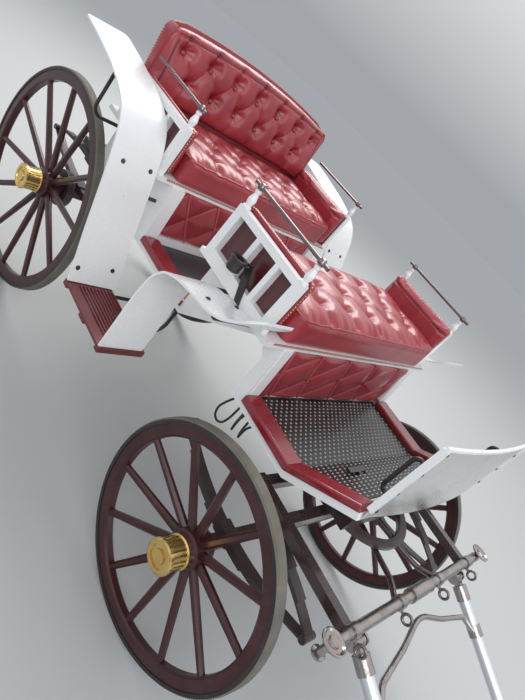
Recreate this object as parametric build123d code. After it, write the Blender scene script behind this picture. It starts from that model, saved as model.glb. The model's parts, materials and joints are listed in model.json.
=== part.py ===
from build123d import *
from math import asin, atan2, cos, degrees, hypot, pi, radians, sin, tan
import os

# Open four-wheeled horse carriage with two forward-facing benches.
# Millimetres. +Z is up, the horse stands towards -Y, and X = 0 is the middle of the carriage.
# While modelling, Y = 0 is the front axle. The finished pieces are moved along Y at the end,
# so that the origin lies on the ground under the middle of the whole length.

# Wheels and track
FRONT_WHEEL_R = 440.0
REAR_WHEEL_R = 540.0
WHEELBASE = 1934.0
FRONT_RIM_X = 719.0          # middle of the rim at hub height
REAR_RIM_X = 642.0
CAMBER = 2.9                 # degrees that the axle arms dip, so that the lowest spoke stands upright
DISH = 52.0                  # how far the spokes stand in from the rim at the hub
SPOKES = 12
SPOKE_TURN = 8.5             # degrees from level to the first spoke
TYRE_W = 45.0
TYRE_T = 20.0
FELLOE_W = 38.0
FELLOE_T = 46.0
SPOKE_FOOT = (34.0, 30.0)    # width and depth at the hub
SPOKE_TIP = (26.0, 24.0)     # width and depth at the rim
NAVE_R = 72.0
NAVE_INNER = -118.0          # ends of the nave along the axle, from the middle of the rim
NAVE_OUTER = -2.0
CAP_R = 60.0
CAP_L = 86.0
CAP_FLUTES = 24
ARM_R = 20.0                 # axle arm in the hub
BEARING_GAP = 0.05
DRUM_R = 92.0
DRUM_W = 34.0

# Steering
KINGPIN_Y = -40.0
KINGPIN_R = 15.0
RING_R = 253.0               # fifth wheel, middle of the ring
RING_W = 34.0
RING_T = 12.0
RING_GAP = 0.4
LOWER_RING_Z = 737.0

# Axles and springs
BEAM = 46.0
FRONT_SPRING_X = 518.0
REAR_SPRING_X = 430.0
SPRING_HALF = 420.0
SPRING_W = 46.0
LEAF_T = 8.0
LEAVES = 4
FRONT_SPRING_TOP = 700.0
REAR_SPRING_TOP = 762.0

# Body boards
BODY_X = 545.0               # outer face of the side boards
BOARD = 18.0
FLOOR_T = 25.0
FRONT_FLOOR_Z = 845.0
MID_FLOOR_Z = 822.0
CREASE_Y = 20.0              # where the toe board rises from the floor
DASH_FOOT_Y = -228.0
DASH_FOOT_Z = 992.0
VALANCE_Y = 330.0
BOX_FRONT_Y = 345.0
BOX_REAR_Y = 790.0
REAR_BOX_Y = 1245.0
REAR_BOX_END = 1752.0
SEAT_Z = 1085.0              # underside of both seat boards
SEAT_T = 20.0
SILL_W = 92.0
SILL_T = 28.0
MAT_T = 5.0

# Seat frames
FRAME_T = 30.0
RAIL_H = 32.0
POST_W = 36.0
MULLION_W = 22.0
FRAME_TOP = 1315.0
SPINDLE_H = 92.0
KNOB_R = 15.0
IRON_R = 7.0
IRON_Z = 1402.0
PANEL_T = 8.0
CUSHION_TOP = 1245.0
FRONT_FRAME_X = 640.0        # middle of the front seat's side frames
BACK_HALF = 598.0            # half the width of the rear back
FRAME_OUTSIDE = 17.0         # how far the rear side frames stand outside the back

# Wings and steps
WING_OUT_X = 858.0
WING_GAP = 8.0               # between a wing and the seat frame beside it
WING_T = 8.0
WING_SIT = 0.5               # between a wing's foot and the step
STEP_Z = 645.0
STEP_IN_X = 650.0

# Front gear
BAR_Y = -476.0
BAR_Z = 736.0
BAR_R = 21.0
BAR_HALF = 640.0
FUTCHELL_X = 508.0
INNER_FUTCHELL_X = 175.0
HITCH_X = 651.0
RING_EYE_R = 18.0
RING_EYE_WIRE = 5.5

# Shafts
SHAFT_X = 445.0
SHAFT_R = 24.0
SHAFT_PIVOT_Y = -506.0
SHAFT_PIVOT_Z = 690.0
SHAFT_BEND = 900.0           # radius of the bend that lays the tip level
SHAFT_SLOPE = 19.2           # degrees down to the ground as it parks
SHAFT_TIP_L = 110.0
SHAFT_PIN_R = 9.0

parts = {}


def both(shape):
    """The shape and its mirror image on the other side of the carriage."""
    return Compound([shape, mirror(shape, about=Plane.YZ)])


def place(name, *shapes):
    solids = [solid for shape in shapes for solid in shape.solids()]
    parts[name] = solids[0] if len(solids) == 1 else Compound(solids)


def block(x0, x1, y0, y1, z0, z1):
    box = Box(x1 - x0, y1 - y0, z1 - z0, align=(Align.MIN, Align.MIN, Align.MIN))
    return Pos(x0, y0, z0) * box


def rod(start, end, radius):
    axis = Vector(*end) - Vector(*start)
    frame = Plane(origin=start, z_dir=axis)
    return frame * Cylinder(radius, axis.length, align=(Align.CENTER, Align.CENTER, Align.MIN))


def side_plate(x0, x1, points):
    """A plate with the given outline in Y and Z, from x0 to x1."""
    outline = make_face(Polyline(*[(0, y, z) for y, z in points], close=True))
    return Pos(x0, 0, 0) * extrude(outline, x1 - x0, dir=(1, 0, 0))


def tube_path(points, radii, radius):
    """A round bar along straight runs joined by arcs."""
    path = FilletPolyline(*points, radius=radii)
    start = Plane(origin=path @ 0, z_dir=path % 0)
    return sweep(start * Circle(radius), path=path)


def turned(profile):
    """A turned piece about Z from its outline of radius and height."""
    outline = make_face(Polyline(*[(r, 0, z) for r, z in profile], close=True))
    return revolve(outline, Axis.Z)


# Wheels, modelled about Z with the outer side up, then stood on their axles

def tyre(radius):
    cone = tan(radians(CAMBER)) * TYRE_W / 2
    inner = radius - TYRE_T
    corner = 6.0
    half = TYRE_W / 2
    profile = [
        (inner, -half), (radius + cone - corner, -half), (radius + cone, -half + corner),
        (radius - cone, half - corner), (radius - cone - corner, half), (inner, half),
    ]
    return turned(profile)


def spoke(radius):
    foot_r, foot_z = NAVE_R - 14, -DISH
    tip_r, tip_z = radius - TYRE_T - FELLOE_T + 8, 0
    run = (tip_r - foot_r, 0, tip_z - foot_z)
    sections = []
    for r, z, (width, depth) in ((foot_r, foot_z, SPOKE_FOOT), (tip_r, tip_z, SPOKE_TIP)):
        frame = Plane(origin=(r, 0, z), x_dir=(0, 1, 0), z_dir=run)
        sections.append(frame * chamfer(Rectangle(width, depth).vertices(), 0.3 * depth))
    return loft(sections)


def wheel_wood(radius):
    rim_out = radius - TYRE_T
    rim_in = rim_out - FELLOE_T
    half = FELLOE_W / 2
    ease = 7.0
    felloe = turned([
        (rim_out, -half), (rim_out, half), (rim_in + ease, half), (rim_in, half - ease),
        (rim_in, -half + ease), (rim_in + ease, -half),
    ])
    bore = ARM_R + BEARING_GAP
    nave = turned([
        (bore, NAVE_INNER), (NAVE_R - 16, NAVE_INNER), (NAVE_R - 10, NAVE_INNER + 8),
        (NAVE_R - 10, NAVE_INNER + 28), (NAVE_R, NAVE_INNER + 34), (NAVE_R, NAVE_OUTER - 20),
        (NAVE_R - 8, NAVE_OUTER - 14), (NAVE_R - 12, NAVE_OUTER), (bore, NAVE_OUTER),
    ])
    wood = felloe + nave
    one = spoke(radius)
    hole = Pos(0, 0, NAVE_INNER) * Cylinder(bore, CAP_L + 200)
    spokes = [Rot(0, 0, SPOKE_TURN + 360 / SPOKES * i) * one for i in range(SPOKES)]
    return wood + spokes - hole


def hub_cap():
    flange = CAP_R + 1
    barrel = CAP_R - 5
    face = NAVE_OUTER + CAP_L
    cap = turned([
        (0, NAVE_OUTER), (CAP_R - 2, NAVE_OUTER), (CAP_R, NAVE_OUTER + 5), (barrel, NAVE_OUTER + 9),
        (barrel, face - 20), (flange, face - 15), (flange, face - 6), (barrel, face - 2),
        (barrel - 14, face - 2), (barrel - 16, face - 7), (barrel - 28, face - 7),
        (barrel - 30, face), (0, face),
    ])
    flute_len = CAP_L - 36
    groove = Pos(barrel + 1.5, 0, NAVE_OUTER + 12 + flute_len / 2) * Box(5, 4, flute_len)
    grooves = [Rot(0, 0, 360 / CAP_FLUTES * i) * groove for i in range(CAP_FLUTES)]
    return cap - grooves


def stand(shape, side, rim_x, radius, y):
    """Stand a wheel piece on its axle; side is -1 for the right wheel and 1 for the left."""
    hub_z = radius * cos(radians(CAMBER))
    out = (side * cos(radians(CAMBER)), 0, -sin(radians(CAMBER)))
    frame = Plane(origin=(side * rim_x, y, hub_z), x_dir=(0, -1, 0), z_dir=out)
    return frame * shape


WHEELS = (
    # name, side, rim X, radius, Y, has a brake drum
    ("front_right", -1, FRONT_RIM_X, FRONT_WHEEL_R, 0.0, False),
    ("front_left", 1, FRONT_RIM_X, FRONT_WHEEL_R, 0.0, False),
    ("rear_right", -1, REAR_RIM_X, REAR_WHEEL_R, WHEELBASE, True),
    ("rear_left", 1, REAR_RIM_X, REAR_WHEEL_R, WHEELBASE, True),
)
wood_by_size = {r: wheel_wood(r) for r in (FRONT_WHEEL_R, REAR_WHEEL_R)}
tyre_by_size = {r: tyre(r) for r in (FRONT_WHEEL_R, REAR_WHEEL_R)}
cap = hub_cap()
drum = turned([
    (ARM_R + BEARING_GAP, NAVE_INNER), (DRUM_R, NAVE_INNER), (DRUM_R, NAVE_INNER - DRUM_W),
    (DRUM_R - 7, NAVE_INNER - DRUM_W), (DRUM_R - 7, NAVE_INNER - 8), (ARM_R + BEARING_GAP, NAVE_INNER - 8),
])
for name, side, rim_x, radius, y, braked in WHEELS:
    place("wheel_" + name, stand(wood_by_size[radius], side, rim_x, radius, y))
    place("tyre_" + name, stand(tyre_by_size[radius], side, rim_x, radius, y))
    place("cap_" + name, stand(cap, side, rim_x, radius, y))
    if braked:
        place("drum_" + name, stand(drum, side, rim_x, radius, y))


# Axles: a square beam with a turned arm at each end

def axle(rim_x, radius, y, shoulder):
    hub_z = radius * cos(radians(CAMBER))
    arms = []
    for side in (-1, 1):
        arm = Pos(0, 0, shoulder) * Cylinder(
            ARM_R, NAVE_OUTER - 8 - shoulder, align=(Align.CENTER, Align.CENTER, Align.MIN))
        collar = Pos(0, 0, shoulder - 14) * Cylinder(
            ARM_R + 12, 14, align=(Align.CENTER, Align.CENTER, Align.MIN))
        arms += [stand(arm, side, rim_x, radius, y), stand(collar, side, rim_x, radius, y)]
    beam_end = rim_x + shoulder - 8
    beam_z = hub_z - shoulder * sin(radians(CAMBER))
    beam = block(-beam_end, beam_end, y - BEAM / 2, y + BEAM / 2, beam_z - BEAM / 2, beam_z + BEAM / 2)
    return beam + arms, beam_z + BEAM / 2


front_axle, front_beam_top = axle(FRONT_RIM_X, FRONT_WHEEL_R, 0.0, NAVE_INNER - 6)
rear_axle, rear_beam_top = axle(REAR_RIM_X, REAR_WHEEL_R, WHEELBASE, NAVE_INNER - DRUM_W + 12)
backing = Pos(0, 0, NAVE_INNER - DRUM_W - 6) * Cylinder(
    DRUM_R - 2, 5, align=(Align.CENTER, Align.CENTER, Align.MIN))
backings = [stand(backing, side, REAR_RIM_X, REAR_WHEEL_R, WHEELBASE) for side in (-1, 1)]
place("front_axle", front_axle)
place("rear_axle", rear_axle + backings)


# Full elliptic springs, lengthwise over each axle

def leaf_pack(y, mid_z, end_z, up):
    """Half of an elliptic spring; up is 1 where the pack bows upward."""
    main_z = mid_z - up * LEAF_T * (LEAVES - 0.5)
    drop = abs(end_z - main_z)
    main_r = (SPRING_HALF ** 2 + drop ** 2) / (2 * drop)
    centre_z = main_z - up * main_r
    pack = None
    for i in range(LEAVES):
        inner = main_r + LEAF_T * (i - 0.5)
        half = asin(SPRING_HALF * (1 - 0.23 * i) / main_r)
        points = []
        for r, turns in ((inner + LEAF_T, (-half, 0, half)), (inner, (half, 0, -half))):
            points.append([(0, y + r * sin(t), centre_z + up * r * cos(t)) for t in turns])
        edge = ThreePointArc(*points[0]) + Line(points[0][2], points[1][0])
        edge += ThreePointArc(*points[1]) + Line(points[1][2], points[0][0])
        leaf = extrude(make_face(edge), SPRING_W / 2, dir=(1, 0, 0), both=True)
        pack = leaf if pack is None else pack + leaf
    return pack


def spring(x, y, low_z, top_z):
    eye_z = (low_z + top_z) / 2
    eye_r = 15.0
    lower = leaf_pack(y, low_z, eye_z - LEAF_T, -1)
    upper = leaf_pack(y, top_z, eye_z + LEAF_T, 1)
    whole = lower + upper
    for end in (-1, 1):
        eye = Rot(0, 90, 0) * Cylinder(eye_r, SPRING_W + 14)
        whole += Pos(0, y + end * SPRING_HALF, eye_z) * eye
    saddle = 90.0
    for z0, z1 in ((low_z, low_z + LEAVES * LEAF_T + 8), (top_z - LEAVES * LEAF_T - 8, top_z)):
        whole += block(-SPRING_W / 2 - 7, SPRING_W / 2 + 7, y - saddle / 2, y + saddle / 2, z0, z1)
    return Pos(x, 0, 0) * whole


place("front_springs", both(spring(FRONT_SPRING_X, 0.0, front_beam_top, FRONT_SPRING_TOP)))
place("rear_springs", both(spring(REAR_SPRING_X, WHEELBASE, rear_beam_top, REAR_SPRING_TOP)))


# Front gear: cross beds, lower ring, side members, splinter bar

def flat_ring(z):
    return Pos(0, KINGPIN_Y, z + RING_T / 2) * (
        Cylinder(RING_R + RING_W / 2, RING_T) - Cylinder(RING_R - RING_W / 2, RING_T))


MEMBER_W = 40.0
MEMBER_Z = (FRONT_SPRING_TOP, LOWER_RING_Z)
MEMBER_REAR = 85.0
side_member = block(
    FUTCHELL_X - MEMBER_W / 2, FUTCHELL_X + MEMBER_W / 2, BAR_Y, MEMBER_REAR, *MEMBER_Z)
bar_bed = rod((-BAR_HALF, BAR_Y, BAR_Z), (BAR_HALF, BAR_Y, BAR_Z), BAR_R)
beds = [block(-FUTCHELL_X, FUTCHELL_X, y, y + MEMBER_W, *MEMBER_Z) for y in (-115.0, 35.0)]
spine = block(-MEMBER_W / 2, MEMBER_W / 2, -115.0, 35.0 + MEMBER_W, *MEMBER_Z)
pin_hole = Pos(0, KINGPIN_Y, LOWER_RING_Z) * Cylinder(KINGPIN_R + BEARING_GAP, 120)
gear_frame = side_member + mirror(side_member, about=Plane.YZ) + beds + spine

inner_bar = tube_path(
    [
        (60.0, -115.0 + 12, LOWER_RING_Z - 18), (90.0, -300.0, LOWER_RING_Z - 18),
        (115.0, -400.0, LOWER_RING_Z - 14), (INNER_FUTCHELL_X, BAR_Y + BAR_R - 4, BAR_Z - 8),
    ],
    [120.0, 90.0], 11.0)
sleeve = rod((-85.0, BAR_Y, BAR_Z), (85.0, BAR_Y, BAR_Z), BAR_R + 6)
clamps = []
for x in (-FUTCHELL_X, -INNER_FUTCHELL_X, INNER_FUTCHELL_X, FUTCHELL_X):
    clamps.append(rod((x - 16, BAR_Y, BAR_Z), (x + 16, BAR_Y, BAR_Z), BAR_R + 5))
EAR_T = 12.0
EAR_GAP = 2 * SHAFT_R + 6
ears = []
for side in (-1, 1):
    for hand in (-1, 1):
        x = side * SHAFT_X + hand * (EAR_GAP / 2 + EAR_T / 2)
        ear = block(x - EAR_T / 2, x + EAR_T / 2, BAR_Y - 14, BAR_Y + 14, SHAFT_PIVOT_Z, BAR_Z)
        ear += rod(
            (x - EAR_T / 2, SHAFT_PIVOT_Y, SHAFT_PIVOT_Z), (x + EAR_T / 2, SHAFT_PIVOT_Y, SHAFT_PIVOT_Z), 22)
        ear += block(
            x - EAR_T / 2, x + EAR_T / 2, SHAFT_PIVOT_Y, BAR_Y + 14, SHAFT_PIVOT_Z - 22, SHAFT_PIVOT_Z + 22)
        ears.append(ear)
shaft_pins = []
for side in (-1, 1):
    half = EAR_GAP / 2 + EAR_T
    centre = side * SHAFT_X
    shaft_pins.append(rod(
        (centre - half, SHAFT_PIVOT_Y, SHAFT_PIVOT_Z), (centre + half, SHAFT_PIVOT_Y, SHAFT_PIVOT_Z),
        SHAFT_PIN_R))
splinter_bar = bar_bed + sleeve + clamps + ears + shaft_pins
gear_frame = gear_frame + inner_bar + mirror(inner_bar, about=Plane.YZ)
place("splinter_bar", splinter_bar)
place("front_bed", (gear_frame - splinter_bar - pin_hole) + flat_ring(LOWER_RING_Z))

hitch = turned([
    (0, -46), (20, -46), (24, -40), (24, -34), (14, -30), (12, 0), (12, 20), (36, 23), (43, 27),
    (43, 32), (38, 34), (31, 29), (20, 29), (17, 35), (0, 37),
])
place("roller_bolts", both(Pos(HITCH_X, BAR_Y, BAR_Z) * hitch - bar_bed))

eye_ring = Rot(0, 90, 0) * Torus(RING_EYE_R, RING_EYE_WIRE)
eyes = []
for x in (-FUTCHELL_X, -INNER_FUTCHELL_X, INNER_FUTCHELL_X, FUTCHELL_X):
    eye_y = BAR_Y - BAR_R - 5 - 12 - RING_EYE_R
    eye = Pos(x, eye_y, BAR_Z - 10) * eye_ring
    eye += rod((x, BAR_Y - BAR_R - 5, BAR_Z - 10), (x, eye_y + RING_EYE_R, BAR_Z - 10), 6)
    eyes.append(eye)
place("trace_eyes", *eyes)

# Upper ring, kingpin and the bolsters that carry the front of the body
upper_ring_z = LOWER_RING_Z + RING_T + RING_GAP
bolster_z = (upper_ring_z + RING_T, FRONT_FLOOR_Z - FLOOR_T)
bolster_ys = (KINGPIN_Y - 150.0, KINGPIN_Y + 110.0)
cross = block(-26, 26, bolster_ys[0], bolster_ys[1] + 40, bolster_z[0], bolster_z[0] + 30)
bolsters = [block(-300, 300, y, y + 40, *bolster_z) for y in bolster_ys]
kingpin = Pos(0, KINGPIN_Y, MEMBER_Z[0] - 30) * Cylinder(
    KINGPIN_R, bolster_z[0] + 30 - MEMBER_Z[0] + 30, align=(Align.CENTER, Align.CENTER, Align.MIN))
nut = Pos(0, KINGPIN_Y, MEMBER_Z[0] - 28) * Cylinder(
    KINGPIN_R + 10, 22, align=(Align.CENTER, Align.CENTER, Align.MIN))
place("kingpin_bolster", cross + bolsters + kingpin + nut + flat_ring(upper_ring_z))


# Shafts: straight tubes down to the ground, then a bend that lays the tip level
slope = radians(SHAFT_SLOPE)
SHAFT_STRAIGHT = (SHAFT_PIVOT_Z - SHAFT_R - SHAFT_BEND * (1 - cos(slope))) / sin(slope)
foot = (SHAFT_PIVOT_Y - SHAFT_STRAIGHT * cos(slope), SHAFT_PIVOT_Z - SHAFT_STRAIGHT * sin(slope))
level_y = foot[0] - SHAFT_BEND * sin(slope)
SHAFT_TIP_Y = level_y - SHAFT_TIP_L


def shaft():
    root_gap = 34.0
    start = (SHAFT_PIVOT_Y - root_gap * cos(slope), SHAFT_PIVOT_Z - root_gap * sin(slope))
    path = Line((0, start[0], start[1]), (0, foot[0], foot[1]))
    mid = slope / 2
    arc_mid = (0, foot[0] - SHAFT_BEND * (sin(slope) - sin(mid)), SHAFT_R + SHAFT_BEND * (1 - cos(mid)))
    path += ThreePointArc((0, foot[0], foot[1]), arc_mid, (0, level_y, SHAFT_R))
    path += Line((0, level_y, SHAFT_R), (0, SHAFT_TIP_Y, SHAFT_R))
    wire = Wire(path.edges())
    section = Plane(origin=(0, start[0], start[1]), z_dir=(0, -cos(slope), -sin(slope))) * Circle(SHAFT_R)
    tube = sweep(section, path=wire)
    tip = Pos(0, SHAFT_TIP_Y, SHAFT_R) * Sphere(SHAFT_R)
    return tube + tip


def on_shaft(distance):
    return Plane(
        origin=(0, SHAFT_PIVOT_Y - distance * cos(slope), SHAFT_PIVOT_Z - distance * sin(slope)),
        x_dir=(1, 0, 0), z_dir=(0, -cos(slope), -sin(slope)))


def shaft_fittings():
    eye = Pos(0, SHAFT_PIVOT_Y, SHAFT_PIVOT_Z) * (Rot(0, 90, 0) * Cylinder(20, 2 * SHAFT_R - 2))
    neck = on_shaft(0) * Pos(0, 0, 20) * Box(30, 24, 40)
    socket = on_shaft(34) * Cylinder(SHAFT_R + 5, 60, align=(Align.CENTER, Align.CENTER, Align.MIN))
    collar = on_shaft(BRACE_AT) * Cylinder(SHAFT_R + 5, 46)
    bore = Pos(0, SHAFT_PIVOT_Y, SHAFT_PIVOT_Z) * (Rot(0, 90, 0) * Cylinder(SHAFT_PIN_R + BEARING_GAP, 80))
    return eye + neck + socket + collar - bore


BRACE_AT = 215.0
shaft_tube = shaft()
fit_hardware = shaft_fittings()

# The stay between the shafts runs in their plane: X and distance from the pivot
BOW_ROW = ((SHAFT_X - 15.0, BRACE_AT + 3.0), (375.0, 142.0), (175.0, 98.0), (0.0, 40.0))
BOW_RADII = (60.0, 400.0, 200.0, 400.0, 60.0)
bow_points = []
for side, row in ((-1, BOW_ROW), (1, BOW_ROW[-2::-1])):
    for x, distance in row:
        at = on_shaft(distance).origin
        bow_points.append((side * x, at.Y, at.Z))
bow = tube_path(bow_points, list(BOW_RADII), 11.0)
tube_room = on_shaft(34) * Cylinder(
    SHAFT_R, SHAFT_STRAIGHT - 34, align=(Align.CENTER, Align.CENTER, Align.MIN))
tube_rooms = [Pos(side * SHAFT_X, 0, 0) * tube_room for side in (-1, 1)]
fit_right = Pos(-SHAFT_X, 0, 0) * fit_hardware
fit_left = Pos(SHAFT_X, 0, 0) * fit_hardware
place("shaft_right", Pos(-SHAFT_X, 0, 0) * shaft_tube)
place("shaft_left", Pos(SHAFT_X, 0, 0) * shaft_tube)
STAPLE_AT = (1350.0, 1500.0)
staples = []
for distance in STAPLE_AT:
    for side in (-1, 1):
        frame = on_shaft(distance)
        legs = Pos(0, SHAFT_R + 4, -16) * Box(8, 14, 8) + Pos(0, SHAFT_R + 4, 16) * Box(8, 14, 8)
        legs += Pos(0, SHAFT_R + 12, 0) * Box(8, 8, 40)
        staples.append(Pos(side * SHAFT_X, 0, 0) * (frame * legs))
fittings = fit_right + fit_left + bow - tube_rooms
place("shaft_fittings", fittings, *[staple - tube_rooms for staple in staples])


# Body: floors, toe board, seat boxes and side boards
toe_len = hypot(CREASE_Y - DASH_FOOT_Y, DASH_FOOT_Z - FRONT_FLOOR_Z)
toe_slope = atan2(DASH_FOOT_Z - FRONT_FLOOR_Z, CREASE_Y - DASH_FOOT_Y)
under = (FLOOR_T * sin(toe_slope), FLOOR_T * cos(toe_slope))
knee = FLOOR_T * tan(toe_slope / 2)
inside = BODY_X - BOARD
front_floor = side_plate(-inside, inside, [
    (BOX_FRONT_Y, FRONT_FLOOR_Z), (CREASE_Y, FRONT_FLOOR_Z), (DASH_FOOT_Y, DASH_FOOT_Z),
    (DASH_FOOT_Y - under[0], DASH_FOOT_Z - under[1]), (CREASE_Y - knee, FRONT_FLOOR_Z - FLOOR_T),
    (BOX_FRONT_Y, FRONT_FLOOR_Z - FLOOR_T),
])

ARCH_Z = 1040.0              # underside of the front seat box over the turning wheel
ARCH_Y = 440.0
REAR_FOOT_Z = MID_FLOOR_Z - FLOOR_T
arch_dir = atan2(ARCH_Z - REAR_FOOT_Z, BOX_REAR_Y - ARCH_Y)
lift = BOARD / cos(arch_dir)
front_box = side_plate(-inside, inside, [
    (BOX_FRONT_Y, FRONT_FLOOR_Z - FLOOR_T), (BOX_FRONT_Y + BOARD, FRONT_FLOOR_Z - FLOOR_T),
    (BOX_FRONT_Y + BOARD, ARCH_Z), (ARCH_Y, ARCH_Z), (BOX_REAR_Y, REAR_FOOT_Z), (BOX_REAR_Y, SEAT_Z),
    (BOX_REAR_Y - BOARD, SEAT_Z), (BOX_REAR_Y - BOARD, REAR_FOOT_Z + lift + BOARD * tan(arch_dir)),
    (ARCH_Y + BOARD * tan(arch_dir / 2), ARCH_Z + BOARD), (BOX_FRONT_Y + BOARD, ARCH_Z + BOARD),
    (BOX_FRONT_Y + BOARD, SEAT_Z), (BOX_FRONT_Y, SEAT_Z),
])

mid_floor = block(-inside, inside, BOX_REAR_Y, REAR_BOX_END, REAR_FOOT_Z, MID_FLOOR_Z)
rear_front_board = block(-inside, inside, REAR_BOX_Y, REAR_BOX_Y + BOARD, MID_FLOOR_Z, SEAT_Z)
rear_back_board = block(-inside, inside, REAR_BOX_END - BOARD, REAR_BOX_END, MID_FLOOR_Z, SEAT_Z)
place("floors", front_floor, mid_floor)
place("seat_boxes", front_box, rear_front_board, rear_back_board)

corner_front = VALANCE_Y
corner_rear = 374.0
low = FRONT_FLOOR_Z - FLOOR_T
side_outline = [
    (DASH_FOOT_Y - under[0], DASH_FOOT_Z - under[1]), (CREASE_Y - knee, low), (corner_rear, low),
    (corner_rear, ARCH_Z - 42), (corner_rear + 42, ARCH_Z), (ARCH_Y, ARCH_Z), (BOX_REAR_Y, REAR_FOOT_Z),
    (REAR_BOX_END, REAR_FOOT_Z), (REAR_BOX_END, SEAT_Z), (REAR_BOX_Y - 28, SEAT_Z),
    (REAR_BOX_Y - 50, MID_FLOOR_Z), (BOX_REAR_Y + 14, MID_FLOOR_Z), (BOX_REAR_Y + 14, SEAT_Z),
    (corner_front + 8, SEAT_Z), (corner_front - 14, FRONT_FLOOR_Z), (CREASE_Y, FRONT_FLOOR_Z),
    (DASH_FOOT_Y, DASH_FOOT_Z),
]
place("side_boards", both(side_plate(inside, BODY_X, side_outline)))

CORNER_W = 48.0
front_corner = side_plate(inside - CORNER_W, inside, [
    (BOX_FRONT_Y - 30, FRONT_FLOOR_Z + SILL_T), (BOX_FRONT_Y - 10, SEAT_Z), (BOX_FRONT_Y, SEAT_Z),
    (BOX_FRONT_Y, FRONT_FLOOR_Z + SILL_T),
])
rear_corner = side_plate(inside - CORNER_W, inside, [
    (REAR_BOX_Y - 46, MID_FLOOR_Z + SILL_T), (REAR_BOX_Y - 26, SEAT_Z), (REAR_BOX_Y, SEAT_Z),
    (REAR_BOX_Y, MID_FLOOR_Z + SILL_T),
])
kick_half = inside - CORNER_W
kick = block(-kick_half, kick_half, REAR_BOX_Y - 40, REAR_BOX_Y, MID_FLOOR_Z + MAT_T, MID_FLOOR_Z + 36)
place("corner_boards", both(front_corner), both(rear_corner), kick)

# Red mouldings on the sills: along the floor and up the toe board, and beside the middle floor
sill_out = BODY_X + 8
sill_in = sill_out - SILL_W
lip = (SILL_T * sin(toe_slope), SILL_T * cos(toe_slope))
front_sill = side_plate(sill_in, sill_out, [
    (BOX_FRONT_Y - 32, FRONT_FLOOR_Z), (CREASE_Y, FRONT_FLOOR_Z), (DASH_FOOT_Y, DASH_FOOT_Z),
    (DASH_FOOT_Y + lip[0], DASH_FOOT_Z + lip[1]),
    (CREASE_Y + SILL_T * tan(toe_slope / 2), FRONT_FLOOR_Z + SILL_T),
    (BOX_FRONT_Y - 32, FRONT_FLOOR_Z + SILL_T),
])


def top_edge(edge):
    middle = edge @ 0.5
    runs_along = abs((edge @ 0).X - (edge @ 1).X) < 0.01
    return runs_along and middle.Z > FRONT_FLOOR_Z + 8 and DASH_FOOT_Y + 20 < middle.Y < BOX_FRONT_Y - 40


front_sill = fillet(front_sill.edges().filter_by(top_edge), 9)
mid_sill = block(sill_in, sill_out, BOX_REAR_Y + 14, REAR_BOX_Y - 50, MID_FLOOR_Z, MID_FLOOR_Z + SILL_T)
mid_sill = fillet(mid_sill.edges().filter_by(Axis.Y).group_by(Axis.Z)[-1], 9)
place("sill_mouldings", both(front_sill), both(mid_sill))

mat_half = sill_in - 1
mat_top = (DASH_FOOT_Y + 42, DASH_FOOT_Z - 42 * tan(toe_slope))
front_mat = side_plate(-mat_half, mat_half, [
    (BOX_FRONT_Y - 16, FRONT_FLOOR_Z), (CREASE_Y, FRONT_FLOOR_Z), mat_top,
    (mat_top[0] + MAT_T * sin(toe_slope), mat_top[1] + MAT_T * cos(toe_slope)),
    (CREASE_Y + MAT_T * tan(toe_slope / 2), FRONT_FLOOR_Z + MAT_T), (BOX_FRONT_Y - 16, FRONT_FLOOR_Z + MAT_T),
])
place("front_mat", front_mat)
mid_mat = block(-mat_half, mat_half, BOX_REAR_Y + 1, REAR_BOX_Y - 42, MID_FLOOR_Z, MID_FLOOR_Z + MAT_T)
place("mid_mat", mid_mat)

# Quilted valances below the cushions
valance_half = inside - CORNER_W - 1
front_valance = side_plate(-valance_half, valance_half, [
    (BOX_FRONT_Y - 15, FRONT_FLOOR_Z + MAT_T + 1), (BOX_FRONT_Y - 12, SEAT_Z - 1), (BOX_FRONT_Y, SEAT_Z - 1),
    (BOX_FRONT_Y, FRONT_FLOOR_Z + MAT_T + 1),
])
rear_valance = side_plate(-valance_half, valance_half, [
    (REAR_BOX_Y - 22, MID_FLOOR_Z + 38), (REAR_BOX_Y - 12, SEAT_Z - 1), (REAR_BOX_Y, SEAT_Z - 1),
    (REAR_BOX_Y, MID_FLOOR_Z + 38),
])
place("valances", front_valance, rear_valance)


# Seats
SEATS = {
    # name: frame X, frame front Y, frame rear Y, mullion places, board front Y, board rear Y
    "front": (FRONT_FRAME_X, 378.0, 788.0, (503.0, 626.0), 338.0, 806.0),
    "rear": (BACK_HALF + FRAME_OUTSIDE, 1252.0, 1690.0, (1392.0, 1540.0), 1232.0, 1758.0),
}


def seat_frame(x, front, rear, mullions):
    z0 = SEAT_Z + SEAT_T
    x0, x1 = x - FRAME_T / 2, x + FRAME_T / 2
    frame = block(x0, x1, front, rear, z0, FRAME_TOP)
    edges = [front + POST_W]
    for m in mullions:
        edges += [m - MULLION_W / 2, m + MULLION_W / 2]
    edges.append(rear - POST_W)
    for y0, y1 in zip(edges[0::2], edges[1::2]):
        frame -= block(x0 - 1, x1 + 1, y0, y1, z0 + RAIL_H, FRAME_TOP - RAIL_H + 4)
    return frame


def spindle():
    h = SPINDLE_H
    return turned([
        (0, 0), (17, 0), (17, 6), (11, 10), (15, 24), (16, 34), (9, 58), (12, 64), (12, 70),
        (8, 74), (KNOB_R, h - 12), (KNOB_R, h - 4), (9, h + 8), (0, h + 10),
    ])


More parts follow.
